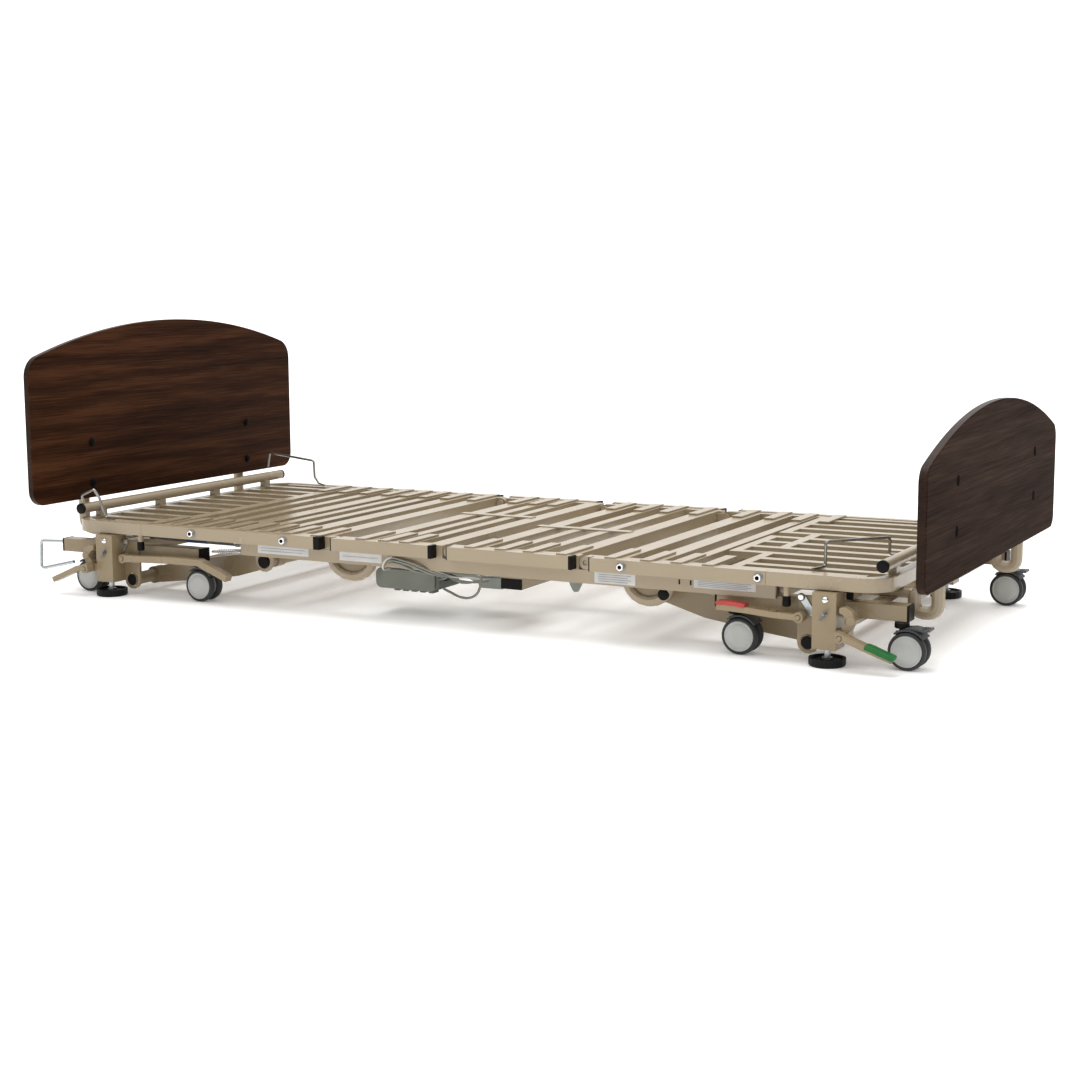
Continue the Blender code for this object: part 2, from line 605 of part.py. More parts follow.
def base_frame(end, pivot_x, tube_z, rails_x, post_x, cross_x):
    """Floor frame: side rails, cross tubes, lock posts, pivot plates and caster sockets."""
    low, high = tube_z - BASE_TUBE_HALF, tube_z + BASE_TUBE_HALF
    shapes, holes = [], []
    x0, x1 = rails_x
    for sign in (-1, 1):
        y0, y1 = sorted((BASE_IN * sign, BASE_OUT * sign))
        shapes.append(block(x0, x1, y0, y1, low, high))
        p0, p1 = sorted(((BASE_OUT - 0.003) * sign, POST_OUT * sign))
        shapes.append(block(post_x, post_x + POST_WIDE, p0, p1, POST_LOW, POST_TOP))
        q0, q1 = sorted(((BASE_OUT - 0.001) * sign, (BASE_OUT + PLATE_THICK) * sign))
        top_in, top_out = pivot_x - 0.020, pivot_x + 0.018
        plate_out = arc(pivot_x, PIVOT_LOW_Z, 0.024, 180, 360, 7)
        plate_out += [(pivot_x + 0.024, 0.105), (top_out, 0.1400), (top_in, 0.1400), (pivot_x - 0.024, 0.105)]
        shapes.append(plate(plate_out, q0, q1))
        bridge = sorted((post_x + 0.005, pivot_x))
        shapes.append(block(bridge[0], bridge[1], q0 + 0.0005, q1 - 0.0005, 0.050, 0.092))
        holes.append(rod((pivot_x, q0 - 0.01, PIVOT_LOW_Z), (pivot_x, q1 + 0.01, PIVOT_LOW_Z), 0.0172, 20))
        post_mid = post_x + POST_WIDE / 2
        pad_y = PAD_Y * sign
        holes.append(rod((post_mid, pad_y, POST_LOW - 0.01), (post_mid, pad_y, 0.085), 0.0085, 14))
    c0, c1 = cross_x
    shapes.append(block(c0, c1, -BASE_OUT + 0.002, BASE_OUT - 0.002, low + 0.0003, high - 0.0003))
    shapes.append(block(post_x + 0.002, post_x + POST_WIDE - 0.002, -BASE_OUT, BASE_OUT, low + 0.0006,
                        high - 0.0006))
    for kind, (ya, yb) in (("_lock_pedal", LOCK_PIN_Y), ("_release_pedal", RELEASE_PIN_Y)):
        px, pz = PEDALS[end + kind][0]
        shapes.append(rod((px, ya, pz), (px, yb, pz), PIN_R, 12))
    t0, t1 = RELEASE_TIES[end]
    shapes.append(block(t0, t1, 0.001 - POST_OUT, -0.440, pz - 0.010, pz + 0.010))
    pivot = (pivot_x, 0, PIVOT_LOW_Z) if end == "foot" else (0, 0, 0)
    piece(end + "_base_frame", weld(shapes, holes), pivot=pivot)


# ---------------------------------------------------------------- casters, pads and pedals
def caster(tag, stem_x, y, top_z):
    """Swivel fork and a pair of twin wheels on one axle."""
    wheel_x = stem_x + CASTER_TRAIL
    body = arc(wheel_x, WHEEL_R, 0.0245, -60, 120, 5)
    body += [(stem_x - 0.012, 0.0790), (stem_x - 0.012, 0.0600)]
    shapes = [plate(body, y - 0.0065, y + 0.0065)]
    shapes.append(rod((stem_x, y, 0.0640), (stem_x, y, 0.0880), 0.0062, 8))
    shapes.append(rod((stem_x, y, 0.0866), (stem_x, y, top_z - 0.0010), COLLAR_R, 16))
    hood = arc(wheel_x, WHEEL_R, 0.0465, 38, 128, 6)
    hood += arc(wheel_x, WHEEL_R, 0.0428, 128, 38, 6)
    shapes.append(plate(hood, y - 0.0235, y + 0.0235))
    spine = arc(wheel_x, WHEEL_R, 0.0446, 40, 126, 4) + arc(wheel_x, WHEEL_R, 0.0200, 126, 40, 2)
    shapes.append(plate(spine, y - 0.0060, y + 0.0060))
    hole = rod((wheel_x, y - 0.02, WHEEL_R), (wheel_x, y + 0.02, WHEEL_R), 0.0053, 10)
    piece("caster_fork_" + tag, weld(shapes, [hole]), colour=(0.16, 0.17, 0.17, 1), roughness=0.5,
          pivot=(stem_x, y, 0.0870), smooth=True)
    edge = TWIN_WIDE / 2
    inner = edge - WHEEL_WIDE
    soft = 0.0035
    profile = [(WHEEL_R - soft, -edge), (WHEEL_R, -edge + soft), (WHEEL_R, -inner), (0.0042, -inner),
               (0.0042, inner), (WHEEL_R, inner), (WHEEL_R, edge - soft), (WHEEL_R - soft, edge)]
    wheels = turned(profile, (wheel_x, y, WHEEL_R), axis="Y", sides=24)
    piece("caster_wheels_" + tag, wheels, colour=(0.55, 0.56, 0.55, 1), roughness=0.45,
          pivot=(wheel_x, y, WHEEL_R), smooth=True)


def lock_pad(name, x, y):
    """Round floor pad with its upright spindle."""
    profile = [(PAD_R - 0.003, 0.0), (PAD_R, 0.003), (PAD_R, 0.0175), (0.034, 0.0175), (0.032, 0.0125),
               (0.0065, 0.0125), (0.0065, 0.0640)]
    piece(name, turned(profile, (x, y, 0.0), sides=20), colour=BLACK, roughness=0.6, pivot=(x, y, 0.0),
          smooth=True)


def pedal(name, pivot, path, half, y0, y1):
    """Foot lever: a bar along (x, z) points with a hub round its pivot pin."""
    points = [Vector(p) for p in path]
    upper, lower = [], []
    for i, point in enumerate(points):
        before = points[max(i - 1, 0)]
        after = points[min(i + 1, len(points) - 1)]
        ahead = (after - before).normalized()
        across = Vector((-ahead.y, ahead.x)) * half
        upper.append(point + across)
        lower.append(point - across)
    outline = [(p.x, p.y) for p in upper + lower[::-1]]
    px, pz = pivot
    shapes = [plate(outline, y0, y1), rod((px, y0 + 0.0005, pz), (px, y1 - 0.0005, pz), 0.0115, 18)]
    hole = rod((px, y0 - 0.01, pz), (px, y1 + 0.01, pz), PIN_HOLE_R, 12)
    piece(name, weld(shapes, [hole]), colour=BEIGE, pivot=(px, (y0 + y1) / 2, pz))


# ---------------------------------------------------------------- boards
def board_outline(low, apex, crown, shoulder, corner):
    """Board outline in (y, z): straight sides, filleted shoulders and a circular crown."""
    centre_z = apex - crown
    side_y = BOARD_HALF - shoulder
    side_z = centre_z + math.sqrt((crown - shoulder) ** 2 - side_y ** 2)
    lean = math.degrees(math.atan2(side_z - centre_z, side_y))
    left = arc(corner - BOARD_HALF, low + corner, corner, 270, 180, 6)
    left += arc(-side_y, side_z, shoulder, 180, 180 - lean, 6)
    left += arc(0, centre_z, crown, 180 - lean, 90, 8)[1:]
    return left + [(-y, z) for y, z in reversed(left[:-1])]


def board(name, x0, thick, outline, colour):
    """Flat end board; the footboard has four mounting slots in its outer face."""
    holes = []
    if name == "footboard":
        for y in (-MOUNT_Y, MOUNT_Y):
            for z in SLOT_LEVELS:
                holes.append(block(x0 + thick - 0.004, x0 + thick + 0.01, y - 0.0035, y + 0.0035,
                                   z - 0.0085, z + 0.0085))
    piece(name, weld([plate(outline, x0, x0 + thick, axis="X")], holes), colour=colour, roughness=0.4)


# ---------------------------------------------------------------- drive units and small parts
def actuator(name, pin_x, y, body, radius, drive, motor=None):
    """Drive unit: a body from x0 to x1 with its motor block, and a rod with its eye at pin_x.

    ward is -1 where the rod leaves towards -X and 1 where it leaves towards +X.
    """
    x0, x1, ward = body
    z = drive["z"]
    shapes = [rod((x0, y, z), (x1, y, z), radius, 18)]
    if motor:
        shapes.append(block(*motor))
    away = -ward
    mouth, back = (x0, x1) if ward < 0 else (x1, x0)
    ends = sorted((back - 0.004 * away, back + 0.014 * away))
    shapes.append(block(ends[0], ends[1], y - 0.006, y + 0.006, z - 0.008, z + 0.008))
    rod_r = drive["rod_r"]
    hole = rod((mouth - 0.010 * away, y, z), (mouth + drive["bore"] * away, y, z), rod_r + 0.0006, 14)
    piece(name + "_body", weld(shapes, [hole]), colour=(0.33, 0.36, 0.33, 1), roughness=0.5)
    eye = drive["eye"]
    rod_shapes = [rod((mouth + drive["inside"] * away, y, z), (pin_x, y, z), rod_r, 14),
                  rod((pin_x, y - eye, z), (pin_x, y + eye, z), drive["eye_r"], 16)]
    piece(name + "_rod", weld(rod_shapes), colour=(0.7, 0.7, 0.7, 1), roughness=0.25, metallic=1.0)


def control_box():
    """Closed box with rounded upright edges."""
    bm = bmesh.new()
    bmesh.ops.create_cube(bm, size=1.0)
    x0, x1, y0, y1, z0, z1 = CONTROL_BOX
    size = Matrix.Diagonal((x1 - x0, y1 - y0, z1 - z0, 1.0))
    centre = Matrix.Translation(((x0 + x1) / 2, (y0 + y1) / 2, (z0 + z1) / 2))
    bmesh.ops.transform(bm, matrix=centre @ size, verts=bm.verts)
    upright = [e for e in bm.edges if abs(e.verts[0].co.y - e.verts[1].co.y) > 0.05]
    bmesh.ops.bevel(bm, geom=upright, offset=0.016, segments=4, affect="EDGES", profile=0.5)
    piece("control_box", to_object("box", bm), colour=(0.20, 0.21, 0.17, 1), roughness=0.5)


def loose_cable():
    """Lead that hangs from the control box to the frame rail."""
    route = [(-0.0814, -0.338, 0.0680), (-0.060, -0.343, 0.0620), (-0.030, -0.352, 0.0550),
             (0.000, -0.360, 0.0560), (0.024, -0.366, 0.0680), (0.036, -0.370, 0.0880),
             (0.0400, -0.372, 0.1080), (0.0410, -0.373, 0.1300)]
    curve = bpy.data.curves.new("lead", "CURVE")
    curve.dimensions = "3D"
    curve.bevel_depth = 0.003
    curve.bevel_resolution = 2
    curve.use_fill_caps = True
    smooth = smooth_route(route, 3)
    spline = curve.splines.new("POLY")
    spline.points.add(len(smooth) - 1)
    for slot, point in zip(spline.points, smooth):
        slot.co = (*point, 1.0)
    obj = bpy.data.objects.new("lead", curve)
    bpy.context.scene.collection.objects.link(obj)
    graph = bpy.context.evaluated_depsgraph_get()
    mesh = bpy.data.meshes.new_from_object(obj.evaluated_get(graph))
    bpy.data.objects.remove(obj, do_unlink=True)
    made = bpy.data.objects.new("lead", mesh)
    bpy.context.scene.collection.objects.link(made)
    piece("control_lead", made, colour=(0.3, 0.3, 0.28, 1), roughness=0.5, smooth=True)


def smooth_route(route, between):
    """Catmull-Rom points through the route."""
    pts = [Vector(p) for p in route]
    pts = [pts[0] * 2 - pts[1]] + pts + [pts[-1] * 2 - pts[-2]]
    made = []
    for p0, p1, p2, p3 in zip(pts, pts[1:], pts[2:], pts[3:]):
        for i in range(between):
            t = i / between
            a = p1 * 2
            b = (p2 - p0) * t
            c = (p0 * 2 - p1 * 5 + p2 * 4 - p3) * t * t
            d = (p1 * 3 - p0 - p2 * 3 + p3) * t ** 3
            made.append((a + b + c + d) / 2)
    made.append(pts[-2])
    return made


def retainers():
    """Bent rods that stop the mattress at the deck's corners."""
    wire = 0.0035
    near, far = -0.4180, 0.4180
    stand = SLAT_TOP + GAP + wire
    head_near = [(-1.010, near, stand), (-1.040, near, stand), (-1.056, near - 0.004, 0.243),
                 (-1.068, near - 0.010, 0.266), (-1.105, near - 0.016, 0.249), (-1.100, near - 0.014, 0.234)]
    piece("head_retainer_near", bent_tube(rounded_path(head_near, 0.006, 3), wire, 8),
          colour=(0.5, 0.5, 0.5, 1), metallic=1.0, pivot=(-1.04, near, SLAT_TOP))
    head_far = [(-0.935, far, stand), (-0.955, far, stand + 0.006), (-0.968, far, 0.216),
                (-0.970, far, 0.263), (-1.128, far, 0.280), (-1.136, far, 0.236)]
    piece("head_retainer_far", bent_tube(rounded_path(head_far, 0.008, 3), wire, 8),
          colour=(0.5, 0.5, 0.5, 1), metallic=1.0, pivot=(-0.955, far, SLAT_TOP))
    foot_near = [(0.861, -0.3997, stand), (0.873, -0.3545, stand), (0.873, -0.3545, 0.2463),
                 (0.9767, -0.2361, 0.2460), (0.9767, -0.2361, 0.2095), (1.0050, -0.2361, 0.2095)]
    piece("foot_retainer_near", bent_tube(rounded_path(foot_near, 0.007, 3), wire, 8),
          colour=(0.5, 0.5, 0.5, 1), metallic=1.0, pivot=(0.873, -0.3545, SLAT_TOP))


def cord_hook():
    """Bent rod loop that stands out of the head base rail."""
    y = -0.4035
    x_rail = -1.184 - 2 * GAP
    corners = [(x_rail, y, 0.1200), (-1.276, y, 0.1165), (-1.2796, y, 0.0415), (-1.166, y, 0.0676)]
    piece("cord_hook", bent_tube(rounded_path(corners, 0.010, 4), 0.0044, 8),
          colour=(0.45, 0.47, 0.48, 1), roughness=0.35, metallic=1.0)


# ---------------------------------------------------------------- assembly
def build():
    """The whole bed, in rest pose."""
    clear_scene()
    head_section()
    thigh_section()
    foot_section()
    for side, sign in (("near", -1), ("far", 1)):
        for section in SIDE_RAILS:
            side_rail(section, side, sign)
        corner_piece("head", side, sign)
        corner_piece("foot", side, sign)
    deck_frame()
    lift_arm("head_lift_arm", HEAD_BASE_PIVOT, 1)
    lift_arm("foot_lift_arm", FOOT_BASE_PIVOT, -1)
    base_frame("head", HEAD_BASE_PIVOT, HEAD_BASE_Z, HEAD_BASE_RAIL, HEAD_POST_X, HEAD_CROSS)
    base_frame("foot", FOOT_BASE_PIVOT, FOOT_BASE_Z, FOOT_BASE_RAIL, FOOT_POST_X, FOOT_CROSS)
    for end, stems, tube_z in (("head", HEAD_STEMS, HEAD_BASE_Z), ("foot", FOOT_STEMS, FOOT_BASE_Z)):
        for spot, stem_x in zip(("a", "b"), stems):
            for side, sign in (("near", -1), ("far", 1)):
                caster("_".join((end, spot, side)), stem_x, CASTER_Y * sign, tube_z - BASE_TUBE_HALF)
    for side, sign in (("near", -1), ("far", 1)):
        lock_pad("head_pad_" + side, HEAD_POST_X + POST_WIDE / 2, PAD_Y * sign)
        lock_pad("foot_pad_" + side, FOOT_POST_X + POST_WIDE / 2, PAD_Y * sign)
    for name, (pin, path, half) in PEDALS.items():
        y0, y1 = LOCK_PEDAL_Y if "lock" in name else RELEASE_PEDAL_Y
        pedal(name, pin, path, half, y0, y1)
    board("headboard", HEADBOARD_X, HEADBOARD_THICK, board_outline(0.230, 0.686, 1.800, 0.055, 0.040),
          (0.05, 0.025, 0.018, 1))
    board("footboard", FOOTBOARD_X, FOOTBOARD_THICK, board_outline(0.180, 0.533, 1.574, 0.040, 0.030),
          (0.055, 0.04, 0.035, 1))
    actuator("back_actuator", BACK_PIN[0], BACK_Y, (-0.175, 0.072, -1), 0.017,
             {**BED_DRIVE, "inside": 0.110, "bore": 0.114},
             motor=(-0.010, 0.062, -0.300, BACK_Y, 0.070, 0.122))
    actuator("knee_actuator", KNEE_PIN[0], KNEE_Y, (0.060, 0.338, -1), 0.017,
             {**BED_DRIVE, "inside": 0.045, "bore": 0.102},
             motor=(0.286, 0.322, -0.210, KNEE_Y, 0.084, 0.120))
    lean = EAR_R * math.sin(EAR_LEAN)
    head_pin_x = HEAD_BASE_PIVOT + ARM_REACH + lean
    foot_pin_x = FOOT_BASE_PIVOT - ARM_REACH - lean
    actuator("head_lift_actuator", head_pin_x, LIFT_DRIVE_Y, (-0.930, -0.665, 1), LIFT_DRIVE_R, LIFT_DRIVE)
    actuator("foot_lift_actuator", foot_pin_x, LIFT_DRIVE_Y, (0.575, 0.742, -1), LIFT_DRIVE_R, LIFT_DRIVE)
    control_box()
    loose_cable()
    retainers()
    cord_hook()
    place = bpy.data.objects.new("bed_place", None)
    bpy.context.scene.collection.objects.link(place)
    place.location = (BOX_SHIFT_X, 0, 0)
    for obj in bpy.data.objects:
        if obj.type == "MESH":
            obj.parent = place
    bpy.context.view_layer.update()


build()
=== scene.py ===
"""Looks of the adjustable hospital bed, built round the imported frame."""
import math

import bmesh
import bpy
from mathutils import Matrix, Vector


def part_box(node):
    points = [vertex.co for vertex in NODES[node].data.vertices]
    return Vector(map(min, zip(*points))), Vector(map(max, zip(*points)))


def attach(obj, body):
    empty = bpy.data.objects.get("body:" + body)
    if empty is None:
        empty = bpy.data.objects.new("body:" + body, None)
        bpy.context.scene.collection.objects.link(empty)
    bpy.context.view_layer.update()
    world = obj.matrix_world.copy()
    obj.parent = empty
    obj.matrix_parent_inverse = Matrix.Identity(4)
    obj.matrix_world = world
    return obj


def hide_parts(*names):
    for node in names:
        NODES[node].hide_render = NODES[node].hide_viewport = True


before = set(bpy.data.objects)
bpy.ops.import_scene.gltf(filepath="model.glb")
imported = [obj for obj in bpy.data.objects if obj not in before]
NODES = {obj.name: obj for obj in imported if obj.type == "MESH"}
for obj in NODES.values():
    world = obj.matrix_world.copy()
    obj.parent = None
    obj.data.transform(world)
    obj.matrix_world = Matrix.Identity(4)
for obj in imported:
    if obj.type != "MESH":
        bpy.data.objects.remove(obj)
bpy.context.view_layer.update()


def corner(node, which, axis):
    """One coordinate of a node's box: which is 0 for low and 1 for high, axis is 0, 1 or 2."""
    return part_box(node)[which][axis]


# ---------------------------------------------------------------- places worked out from the frame
RAIL_START = -0.8945
SHIFT = corner("head_rail_near", 0, 0) - RAIL_START     # from the bed's own X to the frame's X
RAIL_FACE = corner("foot_rail_far", 1, 1)
RAIL_LOW = corner("foot_rail_far", 0, 2)
RAIL_TOP = 0.190
RAIL_DEEP = 0.025
WEB_FACE = corner("deck_frame", 1, 1)
WHEEL_R = corner("caster_wheels_foot_a_near", 1, 2) / 2
TWIN_HALF = (corner("caster_wheels_foot_a_far", 1, 1) - corner("caster_wheels_foot_a_far", 0, 1)) / 2
CASTER_Y = 0.4125
CASTER_TRAIL = 0.0165
STEMS = {"head": (-1.1074, -0.7520), "foot": (0.6927, 1.0609)}
POST_FACE = 0.475
POST_X = {"head": -1.028 + 0.02625, "foot": 0.887 + 0.02625}
BASE_RAIL = {"head": (-1.184, -0.739, 0.1145), "foot": (0.649, 1.0770, 0.1170)}
BASE_PIVOT = {"head": -0.951, "foot": 0.8625}
DECK_PIVOT = {"head": -0.571, "foot": 0.4825}
END_TUBE = {"head": (-1.1045, 0.2150), "foot": (1.0255, 0.2150)}
END_TUBE_HALF, END_TUBE_R = 0.440, 0.0130
BENDS = {"head": (-0.3620, -0.2360, 0.0925), "foot": (0.4285, 0.5345, 0.0940)}     # x0, x1, lowest z
BEND_FACES = (0.3985, 0.4015)
BOARD_BOLT_Y = 0.336
BOARD_BOLT_Z = {"headboard": (0.270, 0.376), "footboard": (0.282, 0.388)}
KNOB_Z = 0.1755
PIN_Z, COTTER_Z = 0.1420, 0.1130
PLATE_FACE = 0.4297
DRIVE_Z = 0.094
INLAY = 0.0005                                          # how proud a slot's black plate stands; the plate is painted shade in place of the slot's hole
ROUND_FROM = 40                                         # degrees; sharper edges get their bevel
SIDES = (("near", -1), ("far", 1))


# ---------------------------------------------------------------- node materials
def shader_of(material):
    return material.node_tree.nodes["Principled BSDF"]


def new_material(name, colour, roughness, metallic=0.0, specular=0.5):
    """Plain surface that the other materials start from."""
    material = bpy.data.materials.new(name)
    material.use_nodes = True
    shader = shader_of(material)
    shader.inputs["Base Color"].default_value = (*colour, 1.0)
    shader.inputs["Roughness"].default_value = roughness
    shader.inputs["Metallic"].default_value = metallic
    shader.inputs["Specular IOR Level"].default_value = specular
    return material


def add(material, kind, **sockets):
    """New node with some of its input values set; underscores stand for spaces."""
    node = material.node_tree.nodes.new(kind)
    for socket, value in sockets.items():
        node.inputs[socket.replace("_", " ")].default_value = value
    return node


def link(material, source, output, target, socket):
    material.node_tree.links.new(source.outputs[output], target.inputs[socket])


def noise(material, scale, detail=3.0, stretch=(1.0, 1.0, 1.0), roughness=0.5):
    """Noise in object space, stretched along an axis by a small scale there."""
    place = add(material, "ShaderNodeTexCoord")
    mapping = add(material, "ShaderNodeMapping", Scale=stretch)
    texture = add(material, "ShaderNodeTexNoise", Scale=scale, Detail=detail, Roughness=roughness)
    link(material, place, "Object", mapping, "Vector")
    link(material, mapping, "Vector", texture, "Vector")
    return texture


def ramp(material, factor, stops):
    """Colour ramp over a value socket, from (position, colour) stops."""
    node = material.node_tree.nodes.new("ShaderNodeValToRGB")
    elements = node.color_ramp.elements
    while len(elements) < len(stops):
        elements.new(0.5)
    for element, (position, colour) in zip(elements, stops):
        element.position = position
        element.color = (*colour, 1.0)
    material.node_tree.links.new(factor, node.inputs["Fac"])
    return node


def bump(material, source, strength, distance, rounding=0.0):
    """Bump from a texture, over edges that are rounded by the given radius."""
    node = add(material, "ShaderNodeBump", Strength=strength, Distance=distance)
    link(material, source, "Fac", node, "Height")
    if rounding:
        soft = add(material, "ShaderNodeBevel", Radius=rounding)
        soft.samples = 6
        link(material, soft, "Normal", node, "Normal")
    link(material, node, "Normal", shader_of(material), "Normal")


def powder_coat(name, colour, rough=(0.20, 0.28), specular=0.65):
    """Stove-enamelled steel: even colour with faint clouding, orange peel and rounded edges."""
    material = new_material(name, colour, 0.25, specular=specular)
    clouds = noise(material, 3.0, 4.0)
    low = tuple(c * 0.95 for c in colour)
    high = tuple(min(c * 1.04, 1.0) for c in colour)
    tint = ramp(material, clouds.outputs["Fac"], ((0.35, low), (0.65, high)))
    link(material, tint, "Color", shader_of(material), "Base Color")
    smears = noise(material, 9.0, 3.0)
    gloss = ramp(material, smears.outputs["Fac"], ((0.35, (rough[0],) * 3), (0.70, (rough[1],) * 3)))
    link(material, gloss, "Color", shader_of(material), "Roughness")
    peel = noise(material, 900.0, 2.0)
    bump(material, peel, 0.12, 0.0006, rounding=0.0016)
    return material


def moulded(name, colour, roughness=0.5, grain=1400.0, specular=0.4):
    """Moulded plastic or rubber with a fine eroded grain."""
    material = new_material(name, colour, roughness, specular=specular)
    clouds = noise(material, 14.0, 4.0)
    low = tuple(c * 0.88 for c in colour)
    high = tuple(min(c * 1.10, 1.0) for c in colour)
    tint = ramp(material, clouds.outputs["Fac"], ((0.3, low), (0.7, high)))
    link(material, tint, "Color", shader_of(material), "Base Color")
    bump(material, noise(material, grain, 3.0), 0.20, 0.0004, rounding=0.0008)
    return material


def bright_metal(name, colour, roughness, scratch=0.08):
    """Plated or polished metal with fine scratches."""
    material = new_material(name, colour, roughness, metallic=1.0)
    marks = noise(material, 260.0, 5.0, stretch=(1.0, 1.0, 6.0))
    span = ((0.3, (roughness * 0.7,) * 3), (0.75, (min(roughness * 1.7, 1.0),) * 3))
    gloss = ramp(material, marks.outputs["Fac"], span)
    link(material, gloss, "Color", shader_of(material), "Roughness")
    bump(material, marks, scratch, 0.0004, rounding=0.0005)
    return material


def blend_nodes(material, first, second, share):
    """Weighted mean of two value sockets."""
    mix = material.node_tree.nodes.new("ShaderNodeMix")
    mix.data_type = "FLOAT"
    mix.inputs[0].default_value = share
    material.node_tree.links.new(first, mix.inputs[2])
    material.node_tree.links.new(second, mix.inputs[3])
    return mix.outputs[0]


def walnut(name, stops, roughness, specular, banding):
    """Dark wood laminate with its grain along Y: wandering bands, streaks and fine pores."""
    material = new_material(name, stops[1][1], roughness, specular=specular)
    streaks = noise(material, 6.0, 8.0, stretch=(1.0, 0.20, 2.6), roughness=0.66)
    fibres = noise(material, 170.0, 4.0, stretch=(1.0, 0.030, 2.2), roughness=0.6)
    bands = material.node_tree.nodes.new("ShaderNodeTexWave")
    bands.wave_type = "BANDS"
    bands.bands_direction = "Z"
    for socket, value in (("Scale", 4.2), ("Distortion", 12.0), ("Detail", 5.0), ("Detail Scale", 0.55),
                          ("Detail Roughness", 0.62)):
        bands.inputs[socket].default_value = value
    place = add(material, "ShaderNodeTexCoord")
    mapping = add(material, "ShaderNodeMapping", Scale=(1.0, 0.30, 1.4))
    link(material, place, "Object", mapping, "Vector")
    link(material, mapping, "Vector", bands, "Vector")
    broad = blend_nodes(material, streaks.outputs["Fac"], bands.outputs["Fac"], banding)
    mixed = blend_nodes(material, broad, fibres.outputs["Fac"], 0.46)
    tint = ramp(material, mixed, stops)
    link(material, tint, "Color", shader_of(material), "Base Color")
    bump(material, fibres, 0.12, 0.0005)
    return material


COAT = powder_coat("beige_coat", (0.344, 0.273, 0.177))
# The same beige powder coat, darkened as painted shade for the parts low under the deck (lift arms, floor
# frames, pedals, bend webs, castings), and a little less glossy.
COAT_SHADED = powder_coat("beige_coat_painted_shade", (0.285, 0.216, 0.126), (0.26, 0.36), 0.50)
BOLT_BLACK = moulded("bolt_black", (0.004, 0.004, 0.004), 0.60, specular=0.06)
BLACK_CAP = moulded("black_cap", (0.0060, 0.0048, 0.0045), 0.45, specular=0.12)
RUBBER = moulded("tread_rubber", (0.038, 0.040, 0.040), 0.58, 700.0, specular=0.25)
PAD_RUBBER = moulded("pad_rubber", (0.005, 0.0052, 0.0054), 0.52, 700.0, specular=0.20)
DISC = moulded("wheel_disc", (0.460, 0.464, 0.444), 0.36, 1800.0)
FORK = moulded("fork_plastic", (0.050, 0.053, 0.053), 0.48, specular=0.3)
PEDAL_GREY = moulded("brake_grey", (0.075, 0.082, 0.084), 0.50)
SAGE = moulded("control_sage", (0.205, 0.220, 0.182), 0.50)
SAGE_DARK = moulded("control_sage_end", (0.120, 0.130, 0.110), 0.52)
ACTUATOR = moulded("actuator_grey", (0.300, 0.330, 0.300), 0.46)
LEAD = moulded("lead_sheath", (0.240, 0.245, 0.210), 0.50)
LEAD_PALE = moulded("lead_pale", (0.560, 0.560, 0.530), 0.50)
GREEN = moulded("release_green", (0.004, 0.130, 0.020), 0.42)
RED = moulded("lock_red", (0.420, 0.050, 0.042), 0.42)
BLUE = moulded("blue_band", (0.030, 0.070, 0.220), 0.40)
LABEL = moulded("label_white", (0.610, 0.612, 0.606), 0.46)
LABEL_LINE = moulded("label_grey", (0.300, 0.310, 0.320), 0.55)
NYLON = moulded("white_nylon", (0.720, 0.710, 0.680), 0.40)
# Near-black with no sheen: painted shade standing in for the dark insides of slots, holes and sockets; also
# used for the dark housing seams.
SHADOW = moulded("dark_recess", (0.003, 0.003, 0.003), 0.90, specular=0.02)
CHROME = bright_metal("chrome", (0.78, 0.79, 0.80), 0.12)
ZINC = bright_metal("zinc_plate", (0.50, 0.53, 0.54), 0.30)
WIRE_STEEL = bright_metal("retainer_wire", (0.34, 0.33, 0.30), 0.28)
STEEL_DARK = bright_metal("dark_steel", (0.25, 0.25, 0.25), 0.38)
HEAD_WOOD = walnut("headboard_walnut", ((0.36, (0.0110, 0.0036, 0.0014)), (0.50, (0.0340, 0.0115, 0.0042)),
                                        (0.62, (0.0740, 0.0275, 0.0110))), 0.48, 0.03, 0.16)
# The footboard's copy of the walnut: the same grain, but a greyer colour with the grey reflection of the
# bright room painted into it, and its own specular almost off.
FOOT_WOOD_PAINTED_SHEEN = walnut("footboard_walnut_painted_sheen", ((0.38, (0.0135, 0.0062, 0.0038)), (0.50, (0.0275, 0.0145, 0.0098)),
                                        (0.62, (0.0470, 0.0275, 0.0195))), 0.50, 0.004, 0.10)
EDGE_BAND = walnut("board_edge", ((0.38, (0.0150, 0.0070, 0.0045)), (0.50, (0.0240, 0.0120, 0.0080)),
                                  (0.62, (0.0380, 0.0200, 0.0135))), 0.34, 0.09, 0.10)


# ---------------------------------------------------------------- shape helpers, in the bed's own X
def new_piece(name, bm, material, body, bevel=0.0, segments=2, sharp=35.0, shift=True):
    """Finish a mesh: place it, round its edges, shade it and let it ride on its body."""
    bmesh.ops.recalc_face_normals(bm, faces=bm.faces[:])
    if shift:
        bmesh.ops.translate(bm, vec=(SHIFT, 0, 0), verts=bm.verts)
    mesh = bpy.data.meshes.new(name)
    bm.to_mesh(mesh)
    bm.free()
    for one in material if isinstance(material, (list, tuple)) else [material]:
        mesh.materials.append(one)
    piece = bpy.data.objects.new(name, mesh)
    bpy.context.scene.collection.objects.link(piece)
    mesh.shade_smooth()
    mesh.set_sharp_from_angle(angle=math.radians(sharp))
    if bevel:
        soft = piece.modifiers.new("round", "BEVEL")
        soft.width = bevel
        soft.segments = segments
        soft.limit_method = "ANGLE"
        soft.angle_limit = math.radians(ROUND_FROM)
        soft.harden_normals = True
    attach(piece, body)
    return piece


def add_box(bm, x0, x1, y0, y1, z0, z1):
    made = bmesh.ops.create_cube(bm, size=1.0)["verts"]
    scale = Matrix.Diagonal((x1 - x0, y1 - y0, z1 - z0, 1.0))
    centre = Matrix.Translation(((x0 + x1) / 2, (y0 + y1) / 2, (z0 + z1) / 2))
    bmesh.ops.transform(bm, matrix=centre @ scale, verts=made)
    return made


